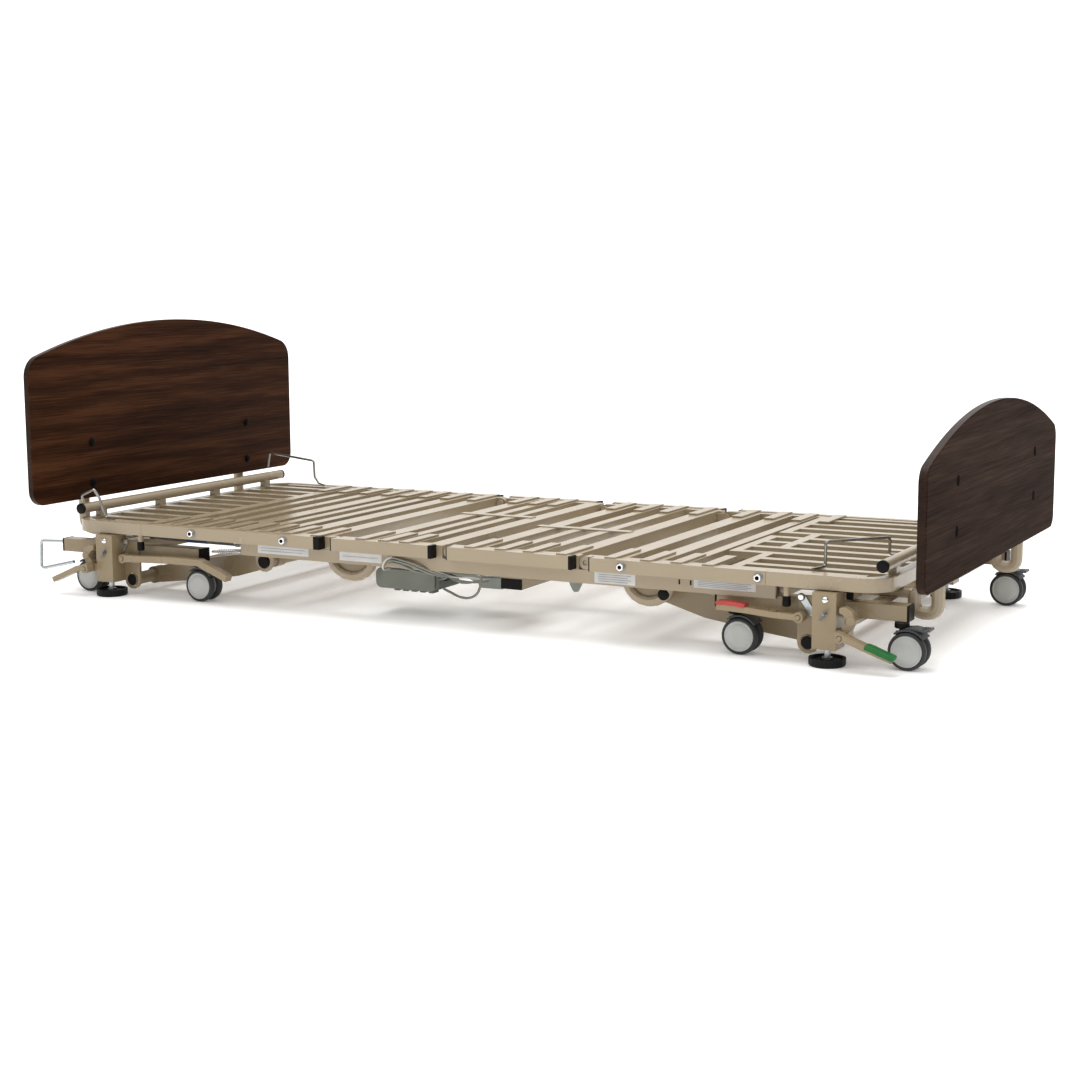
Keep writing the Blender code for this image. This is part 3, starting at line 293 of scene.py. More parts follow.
def add_rod(bm, start, end, radius, sides=20, radius_end=None):
    start, end = Vector(start), Vector(end)
    axis = end - start
    made = bmesh.ops.create_cone(bm, cap_ends=True, segments=sides, radius1=radius,
                                 radius2=radius if radius_end is None else radius_end,
                                 depth=axis.length)["verts"]
    turn = Vector((0, 0, 1)).rotation_difference(axis).to_matrix().to_4x4()
    bmesh.ops.transform(bm, matrix=Matrix.Translation((start + end) / 2) @ turn, verts=made)
    return made


def add_lathe(bm, profile, centre, axis, sides=32, hollow=False):
    """Revolve (radius, height) points about an axis direction through centre.

    The ends are closed by flat faces; a hollow one joins its last point to its first instead.
    """
    turn = Vector((0, 0, 1)).rotation_difference(Vector(axis)).to_matrix()
    rings = []
    for radius, height in profile:
        count = 1 if radius == 0 else sides
        ring = []
        for k in range(count):
            angle = 2 * math.pi * k / sides
            spot = Vector((radius * math.cos(angle), radius * math.sin(angle), height))
            ring.append(bm.verts.new(Vector(centre) + turn @ spot))
        rings.append(ring)
    for ring, following in zip(rings, rings[1:] + rings[:1] if hollow else rings[1:]):
        for k in range(sides):
            j = (k + 1) % sides
            corners = [ring[k % len(ring)], ring[j % len(ring)], following[j % len(following)],
                       following[k % len(following)]]
            bm.faces.new(list(dict.fromkeys(corners)))
    for ring in () if hollow else (rings[0], rings[-1]):
        if len(ring) > 1:
            bm.faces.new(ring)


def add_plate(bm, outline, low, high, axis="Y"):
    """Extrude an outline along an axis; its points are (x, z), (x, y) or (y, z) for Y, Z and X."""
    lift = {"Y": lambda a, b, c: (a, c, b), "Z": lambda a, b, c: (a, b, c),
            "X": lambda a, b, c: (c, a, b)}[axis]
    near = [bm.verts.new(lift(a, b, low)) for a, b in outline]
    far = [bm.verts.new(lift(a, b, high)) for a, b in outline]
    faces = [bm.faces.new(near), bm.faces.new(far)]
    for i in range(len(outline)):
        j = (i + 1) % len(outline)
        faces.append(bm.faces.new((near[i], near[j], far[j], far[i])))
    return faces


def arc(cx, cy, radius, start, end, steps):
    points = []
    for i in range(steps + 1):
        angle = math.radians(start + (end - start) * i / steps)
        points.append((cx + radius * math.cos(angle), cy + radius * math.sin(angle)))
    return points


def thicken(points, widths):
    """Closed (x, z) outline of a bent strip, with a half width at each of its points."""
    upper, lower = [], []
    for i, (point, width) in enumerate(zip(points, widths)):
        ahead = (points[min(i + 1, len(points) - 1)] - points[max(i - 1, 0)]).normalized()
        across = Vector((-ahead.y, ahead.x)) * width
        upper.append(point + across)
        lower.append(point - across)
    return [(p.x, p.y) for p in upper + lower[::-1]]


def smooth_route(route, between):
    """Catmull-Rom points through the route."""
    points = [Vector(p) for p in route]
    points = [points[0] * 2 - points[1]] + points + [points[-1] * 2 - points[-2]]
    made = []
    for p0, p1, p2, p3 in zip(points, points[1:], points[2:], points[3:]):
        for i in range(between):
            t = i / between
            bend = (p0 * 2 - p1 * 5 + p2 * 4 - p3) * t * t + (p1 * 3 - p0 - p2 * 3 + p3) * t ** 3
            made.append((p1 * 2 + (p2 - p0) * t + bend) / 2)
    made.append(points[-2])
    return made


def wire(name, route, radius, material, body, between=6, shift=True):
    """A thin round wire or lead along a smooth route."""
    curve = bpy.data.curves.new(name, "CURVE")
    curve.dimensions = "3D"
    curve.bevel_depth = radius
    curve.bevel_resolution = 3
    curve.use_fill_caps = True
    points = smooth_route(route, between) if between else [Vector(p) for p in route]
    spline = curve.splines.new("POLY")
    spline.points.add(len(points) - 1)
    for slot, point in zip(spline.points, points):
        slot.co = (point.x + (SHIFT if shift else 0), point.y, point.z, 1.0)
    curve.materials.append(material)
    piece = bpy.data.objects.new(name, curve)
    bpy.context.scene.collection.objects.link(piece)
    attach(piece, body)
    return piece


def dress(node, material):
    """Give a CAD node its finished material."""
    NODES[node].data.materials.clear()
    NODES[node].data.materials.append(material)


# ---------------------------------------------------------------- CAD nodes that stay
def dress_nodes():
    dressed = {
        "deck_frame": COAT, "head_section": COAT, "thigh_section": COAT, "foot_section": COAT,
        "head_lift_arm": COAT_SHADED, "foot_lift_arm": COAT_SHADED,
        "head_base_frame": COAT_SHADED, "foot_base_frame": COAT_SHADED, "cord_hook": ZINC,
        "head_retainer_near": WIRE_STEEL, "head_retainer_far": WIRE_STEEL, "foot_retainer_near": WIRE_STEEL,
        "back_actuator_body": ACTUATOR, "knee_actuator_body": ACTUATOR,
        "head_lift_actuator_body": STEEL_DARK, "foot_lift_actuator_body": STEEL_DARK,
        "back_actuator_rod": CHROME, "knee_actuator_rod": CHROME,
        "head_lift_actuator_rod": CHROME, "foot_lift_actuator_rod": CHROME,
        "foot_lock_pedal": COAT_SHADED, "head_lock_pedal": COAT_SHADED,
        "foot_release_pedal": COAT_SHADED, "head_release_pedal": COAT_SHADED,
    }
    for node in NODES:
        if node in dressed:
            dress(node, dressed[node])
        elif "_rail_" in node or "_corner_" in node:
            dress(node, COAT)
        elif node.startswith("caster_fork"):
            dress(node, FORK)
        elif "_pad_" in node:
            dress(node, PAD_RUBBER)


# ---------------------------------------------------------------- boards
def board_outline(low, apex, crown, shoulder, foot, half=0.560):
    """Outline in (y, z): straight sides, filleted shoulders and a circular crown."""
    centre_z = apex - crown
    side_y = half - shoulder
    side_z = centre_z + math.sqrt((crown - shoulder) ** 2 - side_y ** 2)
    lean = math.degrees(math.atan2(side_z - centre_z, side_y))
    left = arc(foot - half, low + foot, foot, 270, 180, 10)
    left += arc(-side_y, side_z, shoulder, 180, 180 - lean, 14)
    left += arc(0, centre_z, crown, 180 - lean, 90, 22)[1:]
    return left + [(-y, z) for y, z in reversed(left[:-1])]


def board(node, body, outline, face_material):
    """Laminated panel with a rounded edge band, a hair thinner than its solid on the outer face."""
    x0, x1 = corner(node, 0, 0), corner(node, 1, 0) - INLAY
    bm = bmesh.new()
    faces = add_plate(bm, outline, x0, x1, axis="X")
    for face in faces[2:]:
        face.material_index = 1
    piece = new_piece(node + "_panel", bm, [face_material, EDGE_BAND], body, bevel=0.0035, segments=3,
                      shift=False)
    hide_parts(node)


def boards():
    board("headboard", "deck", board_outline(0.230, 0.686, 1.800, 0.055, 0.040), HEAD_WOOD)
    board("footboard", "deck", board_outline(0.180, 0.533, 1.574, 0.040, 0.030), FOOT_WOOD_PAINTED_SHEEN)
    inner = corner("headboard", 1, 0) - INLAY - SHIFT
    outer = corner("footboard", 1, 0) - SHIFT
    for side, sign in SIDES:
        y = BOARD_BOLT_Y * sign
        for level, z in zip(("low", "high"), BOARD_BOLT_Z["headboard"]):
            bm = bmesh.new()
            head = [(0.0110, 0.0003), (0.0115, 0.0012), (0.0100, 0.0026), (0.0072, 0.0034), (0.0072, 0.0058),
                    (0.0050, 0.0066), (0.0, 0.0068)]
            add_lathe(bm, head, (inner, y, z), (1, 0, 0), 24)
            new_piece("headboard_bolt_%s_%s" % (level, side), bm, BOLT_BLACK, "deck")
        for level, z in zip(("low", "high"), BOARD_BOLT_Z["footboard"]):
            # Black plate flush in each slot: painted shade in place of the hole through the board.
            bm = bmesh.new()
            ring = arc(0, 0.0020, 0.0100, 0, 180, 8) + arc(0, -0.0020, 0.0100, 180, 360, 8)
            add_plate(bm, [(y + a, z + b) for a, b in ring], outer - 2 * INLAY, outer, axis="X")
            new_piece("footboard_slot_%s_%s" % (level, side), bm, SHADOW, "deck", bevel=0.0002)


# ---------------------------------------------------------------- rails: caps, knobs, bumper tips
def rail_cap(name, x0, x1, sign, body):
    """Black sleeve over a rail's end."""
    lip = 0.0007
    y0, y1 = sorted(((RAIL_FACE + lip) * sign, (RAIL_FACE - RAIL_DEEP - lip) * sign))
    bm = bmesh.new()
    add_box(bm, x0, x1, y0, y1, RAIL_LOW - lip, RAIL_TOP + lip)
    new_piece(name, bm, BLACK_CAP, body, bevel=0.0016, segments=3)


def clamp_knob(name, x, sign, body):
    """Chromed hexagon bolt on a flanged washer, with a black disc in its socket as painted shade."""
    face = RAIL_FACE * sign
    bm = bmesh.new()
    washer = [(0.0104, 0.0002), (0.0107, 0.0010), (0.0090, 0.0024), (0.0070, 0.0026)]
    add_lathe(bm, washer, (x, face, KNOB_Z), (0, sign, 0), 28)
    new_piece(name + "_washer", bm, STEEL_DARK, body)
    bm = bmesh.new()
    add_rod(bm, (x, face + 0.0026 * sign, KNOB_Z), (x, face + 0.0096 * sign, KNOB_Z), 0.0088, 6)
    new_piece(name, bm, CHROME, body, bevel=0.0013, segments=3)
    # Black disc: painted shade inside the hexagon socket.
    bm = bmesh.new()
    socket = [(0.0046, 0.0), (0.0046, 0.0006), (0.0034, 0.0006), (0.0032, 0.0002), (0.0, 0.0002)]
    add_lathe(bm, socket, (x, face + 0.0096 * sign, KNOB_Z), (0, sign, 0), 18)
    new_piece(name + "_socket", bm, SHADOW, body)


def rails():
    caps = {"head": (-0.3730, -0.3553), "seat": (-0.0540, -0.0443), "thigh": (0.3100, 0.3187)}
    heels = {"seat": -0.3235, "thigh": -0.0045, "foot": 0.3610}
    knobs = {"head": (-0.735, -0.459), "foot": (0.441, 0.761)}
    for side, sign in SIDES:
        for section, (x0, x1) in caps.items():
            body = "%s_rail_%s" % (section, side)
            rail_cap(body + "_cap", x0, x1, sign, body)
        for section, x in heels.items():
            body = "%s_rail_%s" % (section, side)
            rail_cap(body + "_heel", x - 0.0007, x + 0.0026, sign, body)
        for section, spots in knobs.items():
            body = "%s_rail_%s" % (section, side)
            for letter, x in zip("ab", spots):
                clamp_knob("%s_knob_%s" % (body, letter), x, sign, body)
        for section, x, z in (("head", -0.907, 0.1215), ("foot", 0.820, 0.1180)):
            body = "%s_rail_%s" % (section, side)
            y = (RAIL_FACE - RAIL_DEEP / 2) * sign
            bm = bmesh.new()
            tip = [(0.0070, 0.0), (0.0088, 0.0012), (0.0092, 0.0050), (0.0086, 0.0200), (0.0080, 0.0225)]
            add_lathe(bm, tip, (x, y, z - 0.0012), (0, 0, 1), 20)
            new_piece(body + "_bumper_tip", bm, BLACK_CAP, body)


# ---------------------------------------------------------------- deck: end tubes, labels, slots, stub
def round_cap(name, centre, direction, radius, body, proud=0.0025):
    """Domed plug in the end of a round tube."""
    bm = bmesh.new()
    profile = [(radius * 1.03, -0.0050), (radius * 1.03, proud * 0.4), (radius * 0.9, proud * 0.85),
               (radius * 0.5, proud), (0.0, proud * 1.05)]
    add_lathe(bm, profile, centre, direction, 28)
    new_piece(name, bm, BLACK_CAP, body)


def label(name, x0, x1, z0, z1, lines):
    """Blank label plate; the grey bars only stand for printed areas."""
    y = -WEB_FACE
    bm = bmesh.new()
    add_box(bm, x0, x1, y - 0.0007, y + 0.0002, z0, z1)
    new_piece(name, bm, LABEL, "deck", bevel=0.0002)
    bm = bmesh.new()
    high = z1 - z0
    for row in range(lines):
        z = z1 - high * (row + 1) / (lines + 1)
        end = x1 - 0.010 - 0.008 * (row % 2)
        add_box(bm, x0 + 0.010, end, y - 0.0009, y - 0.0005, z - 0.0007, z + 0.0007)
    new_piece(name + "_bars", bm, LABEL_LINE, "deck")


def bend_web(name, x0, x1, low, sign):
    """Thin plate that fills a U bend under the frame rail."""
    deep = min((x1 - x0) / 2, 0.155 - low) - 0.002
    outline = [(x0, 0.1500)] + arc(x0 + deep, low + deep, deep, 180, 270, 10)
    outline += arc(x1 - deep, low + deep, deep, 270, 360, 10) + [(x1, 0.1500)]
    bm = bmesh.new()
    add_plate(bm, outline, *sorted(y * sign for y in BEND_FACES))
    new_piece(name, bm, COAT_SHADED, "deck")


def deck_details():
    for side, sign in SIDES:
        for end, bend in BENDS.items():
            bend_web("bend_web_%s_%s" % (end, side), *bend, sign)
    for end, body in (("head", "backrest"), ("foot", "leg_rest")):
        x, z = END_TUBE[end]
        for side, sign in SIDES:
            round_cap("%s_tube_cap_%s" % (end, side), (x, END_TUBE_HALF * sign, z), (0, sign, 0), END_TUBE_R,
                      body)
    for side, sign in SIDES:
        round_cap("bend_cap_" + side, (0.5217, 0.4120 * sign, 0.1130), (0, sign, 0), 0.0124, "deck", 0.0030)
    label("label_a", -0.5545, -0.4045, 0.1360, 0.1565, 2)
    label("label_b", -0.3150, -0.1960, 0.1345, 0.1565, 1)
    label("label_c", 0.3630, 0.4630, 0.1310, 0.1560, 4)
    label("label_d", 0.6020, 0.7450, 0.1385, 0.1570, 4)
    # Black slot plates on the web: painted shade in place of the holes.
    for letter, x in (("a", 0.568), ("b", 0.595)):
        bm = bmesh.new()
        ring = arc(0, 0.0040, 0.0018, 0, 180, 6) + arc(0, -0.0040, 0.0018, 180, 360, 6)
        add_plate(bm, [(x + a, 0.148 + b) for a, b in ring], -WEB_FACE - 0.0003, -WEB_FACE + 0.0010)
        new_piece("web_slot_" + letter, bm, SHADOW, "deck")
    blocks = (("cross_tube_cap_", (0.1096, 0.1639), (0.3995, 0.4035), (0.0936, 0.1175), BLACK_CAP),
              ("stub_tube_", (0.9445, 0.9590), (0.3480, 0.4230), (0.1380, 0.1570), COAT),
              ("stub_cap_", (0.9440, 0.9595), (0.4220, 0.4265), (0.1375, 0.1577), BLACK_CAP))
    for side, sign in SIDES:
        for name, across_x, across_y, across_z, material in blocks:
            bm = bmesh.new()
            add_box(bm, *across_x, *sorted(y * sign for y in across_y), *across_z)
            new_piece(name + side, bm, material, "deck", bevel=0.0012)


# ---------------------------------------------------------------- floor frames
def post_hardware(end, side, sign):
    """Bolt, cotter bolt and washer on a lock post."""
    x = POST_X[end]
    face = POST_FACE * sign
    name = "%s_post_%s" % (end, side)
    bm = bmesh.new()
    add_lathe(bm, [(0.0068, 0.0), (0.0070, 0.0020), (0.0052, 0.0045), (0.0025, 0.0056), (0.0, 0.0058)],
              (x + 0.002, face, PIN_Z), (0, sign, 0), 24)
    new_piece(name + "_pin_head", bm, CHROME, end + "_base")
    bm = bmesh.new()
    add_rod(bm, (x + 0.001, face, COTTER_Z), (x + 0.001, face + 0.0035 * sign, COTTER_Z), 0.0062, 16)
    add_rod(bm, (x + 0.001, face, COTTER_Z), (x + 0.001, face + 0.0110 * sign, COTTER_Z), 0.0032, 14)
    for x0, x1, z0, z1, out in ((-0.009, 0.011, -0.013, 0.014, 0.0075),
                                (-0.005, 0.004, -0.014, 0.002, 0.0062)):
        y = face + out * sign
        add_rod(bm, (x + x0, y, COTTER_Z + z0), (x + x1, y, COTTER_Z + z1), 0.0013, 10)
    new_piece(name + "_cotter_bolt", bm, STEEL_DARK, end + "_base")


def pivot_hardware(end, side, sign):
    """Arm tube cap in the pivot plate, spring strap, its knob and the nylon pin."""
    arm_x = BASE_PIVOT[end]
    base = end + "_base"
    name = "%s_pivot_%s" % (end, side)
    round_cap(name + "_cap", (arm_x, 0.4300 * sign, 0.0400), (0, sign, 0), 0.0152, end + "_arm", 0.0016)
    face = PLATE_FACE * sign
    bm = bmesh.new()
    lean = 1 if end == "foot" else -1
    top = Vector((arm_x - 0.0135, 0.1385))
    low = Vector((top.x + 0.0260 * lean, 0.1010))
    add_plate(bm, thicken((top, low), (0.0075, 0.0075)), *sorted((face, face + 0.0030 * sign)))
    new_piece(name + "_strap", bm, ZINC, base, bevel=0.0008)
    bm = bmesh.new()
    add_lathe(bm, [(0.0082, 0.0), (0.0085, 0.0030), (0.0060, 0.0070), (0.0, 0.0078)],
              (top.x, face + 0.0025 * sign, top.y - 0.0010), (0, sign, 0), 22)
    new_piece(name + "_knob", bm, CHROME, base)
    bm = bmesh.new()
    pin_x, pin_z = arm_x - 0.0240, 0.0985
    add_rod(bm, (pin_x, face + 0.0010 * sign, pin_z), (pin_x, face + 0.0120 * sign, pin_z), 0.0040, 16)
    new_piece(name + "_pin", bm, NYLON, base)


def base_details():
    for end in ("head", "foot"):
        x0, x1, middle = BASE_RAIL[end]
        half = 0.0172
        for side, sign in SIDES:
            y0, y1 = sorted((0.3838 * sign, 0.4232 * sign))
            for spot, cap0, cap1 in (("in", x0 - 0.0016, x0 + 0.0040), ("out", x1 - 0.0040, x1 + 0.0016)):
                bm = bmesh.new()
                add_box(bm, cap0, cap1, y0, y1, middle - half, middle + half)
                plug = "%s_rail_plug_%s_%s" % (end, spot, side)
                new_piece(plug, bm, BLACK_CAP, end + "_base", bevel=0.0016)
            post_hardware(end, side, sign)
            pivot_hardware(end, side, sign)
    for end, x in DECK_PIVOT.items():
        for side, sign in SIDES:
            round_cap("%s_arm_top_cap_%s" % (end, side), (x, 0.3862 * sign, 0.1060), (0, sign, 0), 0.0158,
                      end + "_arm", 0.0020)
    casting("foot_casting", 1, 0.946, "foot_base")
    casting("head_casting", -1, -1.034, "head_base")


def casting(name, ward, x, body):
    """Cranked cast link that joins the release pedal's hub to the frame rail."""
    y0, y1 = -0.4790, -0.4440
    route = [(0.000, 0.1225), (0.010, 0.1230), (0.022, 0.1150), (0.026, 0.1020), (0.020, 0.0880),
             (0.010, 0.0790)]
    width = (0.0060, 0.0085, 0.0105, 0.0095, 0.0085, 0.0075)
    points = [Vector((x + ward * a, b)) for a, b in route]
    bm = bmesh.new()
    add_plate(bm, thicken(points, width), y0, y1 - 0.012)
    new_piece(name, bm, COAT_SHADED, body, bevel=0.0032, segments=4)
    bm = bmesh.new()
    boss = points[3]
    add_rod(bm, (boss.x, y0 - 0.002, boss.y), (boss.x, y1, boss.y), 0.0105, 24)
    new_piece(name + "_boss", bm, COAT_SHADED, body, bevel=0.0020, segments=3)


def pad_details():
    for end in ("head", "foot"):
        for side, sign in SIDES:
            x, y = POST_X[end], 0.450 * sign
            bm = bmesh.new()
            add_lathe(bm, [(0.0069, 0.0), (0.0069, 0.0235)], (x, y, 0.0130), (0, 0, 1), 20)
            add_rod(bm, (x, y, 0.0128), (x, y, 0.0185), 0.0115, 6)
            body = "%s_pad_%s" % (end, side)
            new_piece(body + "_stud", bm, ZINC, body, bevel=0.0005)


# ---------------------------------------------------------------- casters
def wheel_meshes(tag, wheel_x, y):
    body = "caster_wheels_" + tag
    tread, discs = bmesh.new(), bmesh.new()
    for sign in (-1, 1):
        outer, inner = TWIN_HALF, TWIN_HALF - 0.0170
        centre = (wheel_x, y, WHEEL_R)
        tyre = [(0.0300, inner), (WHEEL_R - 0.0028, inner), (WHEEL_R - 0.0006, inner + 0.0024),
                (WHEEL_R, inner + 0.0060), (WHEEL_R, outer - 0.0060), (WHEEL_R - 0.0008, outer - 0.0030),
                (WHEEL_R - 0.0034, outer - 0.0006), (WHEEL_R - 0.0062, outer - 0.0003),
                (WHEEL_R - 0.0070, outer - 0.0016), (0.0300, outer - 0.0016)]
        add_lathe(tread, tyre, centre, (0, sign, 0), 48)
        face = [(0.0332, outer - 0.0040), (0.0332, outer - 0.0012), (0.0322, outer - 0.0003),
                (0.0300, outer - 0.0001), (0.0292, outer - 0.0010), (0.0280, outer - 0.0010),
                (0.0272, outer - 0.0001), (0.0150, outer + 0.0001), (0.0, outer + 0.0002)]
        add_lathe(discs, face, centre, (0, sign, 0), 48)
        back = [(0.0302, inner + 0.0004), (0.0302, inner - 0.0006), (0.0120, inner - 0.0006),
                (0.0120, inner + 0.0004)]
        add_lathe(discs, back, centre, (0, sign, 0), 32)
    tread_piece = new_piece("wheel_tread_" + tag, tread, RUBBER, body, sharp=50)
    new_piece("wheel_disc_" + tag, discs, DISC, body, sharp=50)
    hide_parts(body)


def caster_collar(tag, stem_x, y, top):
    """Black swivel housing with a bearing groove under the floor frame."""
    bm = bmesh.new()
    profile = [(0.0150, 0.0862), (0.0156, 0.0868), (0.0156, top - 0.0042), (0.0140, top - 0.0036),
               (0.0140, top - 0.0030), (0.0152, top - 0.0024), (0.0152, top - 0.0012), (0.0100, top - 0.0012)]
    add_lathe(bm, profile, (stem_x, y, 0.0), (0, 0, 1), 32)
    new_piece("caster_collar_" + tag, bm, BLACK_CAP, "caster_fork_" + tag)


def brake_tab(tag, wheel_x, y):
    """Foot-operated brake tab with grip ribs."""
    body = "caster_fork_" + tag
    bm = bmesh.new()
    top = [(wheel_x - 0.006, 0.0885), (wheel_x + 0.012, 0.0905), (wheel_x + 0.030, 0.0880),
           (wheel_x + 0.047, 0.0895)]
    under = [(x, z - 0.0055) for x, z in reversed(top)]
    add_plate(bm, top + under, y - 0.0170, y + 0.0170)
    for i in range(4):
        x = wheel_x + 0.030 + i * 0.0045
        add_box(bm, x, x + 0.0018, y - 0.0150, y + 0.0150, 0.0870, 0.0902)
    new_piece("brake_tab_" + tag, bm, PEDAL_GREY, body, bevel=0.0014, segments=2)


def casters():
    for end, spots in STEMS.items():
        top = BASE_RAIL[end][2] - 0.0165
        for spot, stem_x in zip("ab", spots):
            for side, sign in SIDES:
                tag = "_".join((end, spot, side))
                y = CASTER_Y * sign
                wheel_meshes(tag, stem_x + CASTER_TRAIL, y)
                caster_collar(tag, stem_x, y, top)
    for side, sign in SIDES:
        brake_tab("foot_b_" + side, STEMS["foot"][1] + CASTER_TRAIL, CASTER_Y * sign)


# ---------------------------------------------------------------- pedals
def grip(name, route, y0, y1, thick, material, body):
    """Moulded grip over the end of a lever, along (x, z) points."""
    points = [Vector(p) for p in route]
    bm = bmesh.new()
    add_plate(bm, thicken(points, [thick] * len(points)), y0, y1)
    new_piece(name, bm, material, body, bevel=0.0030, segments=3)


def pedal_details():
    lock_route = [(0.666, 0.1150), (0.690, 0.1160), (0.712, 0.1145), (0.733, 0.1120)]
    grip("lock_grip", lock_route, -0.4660, -0.4365, 0.0042, RED, "foot_lock_pedal")
    release_route = [(1.0095, 0.0565), (1.0230, 0.0530), (1.0420, 0.0455), (1.0580, 0.0400), (1.0710, 0.0355)]
    grip("release_grip", release_route, -0.5060, -0.4780, 0.0056, GREEN, "foot_release_pedal")


# ---------------------------------------------------------------- drive units and leads
def control_unit():
    low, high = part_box("control_box")
    x0, x1 = low[0] - SHIFT, high[0] - SHIFT
    split = x1 - 0.012
    bm = bmesh.new()
    add_box(bm, x0, split, low[1], high[1], low[2] + 0.004, high[2])
    upright = [e for e in bm.edges if abs(e.verts[0].co.y - e.verts[1].co.y) > 0.05]
    bmesh.ops.bevel(bm, geom=upright, offset=0.015, segments=8, affect="EDGES", profile=0.5)
    body_piece = new_piece("control_case", bm, SAGE, "deck", bevel=0.0030, segments=3)
    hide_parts("control_box")
    bm = bmesh.new()
    add_box(bm, split + 0.0008, x1, low[1] + 0.002, high[1] - 0.002, low[2] + 0.010, high[2] - 0.004)
    new_piece("control_end", bm, SAGE_DARK, "deck", bevel=0.0040, segments=3)
    bm = bmesh.new()
    for i in range(5):
        x = x0 + 0.050 + i * 0.024
        add_box(bm, x, x + 0.014, low[1] + 0.004, low[1] + 0.030, low[2], low[2] + 0.006)
    new_piece("control_tabs", bm, SAGE_DARK, "deck", bevel=0.0010)
    bm = bmesh.new()
    for i in range(4):
        y = low[1] + 0.020 + i * 0.018
        add_rod(bm, (x1 - 0.0005, y, 0.094), (x1 + 0.010, y, 0.094), 0.0062, 16)
    new_piece("control_glands", bm, BLACK_CAP, "deck", bevel=0.0008)


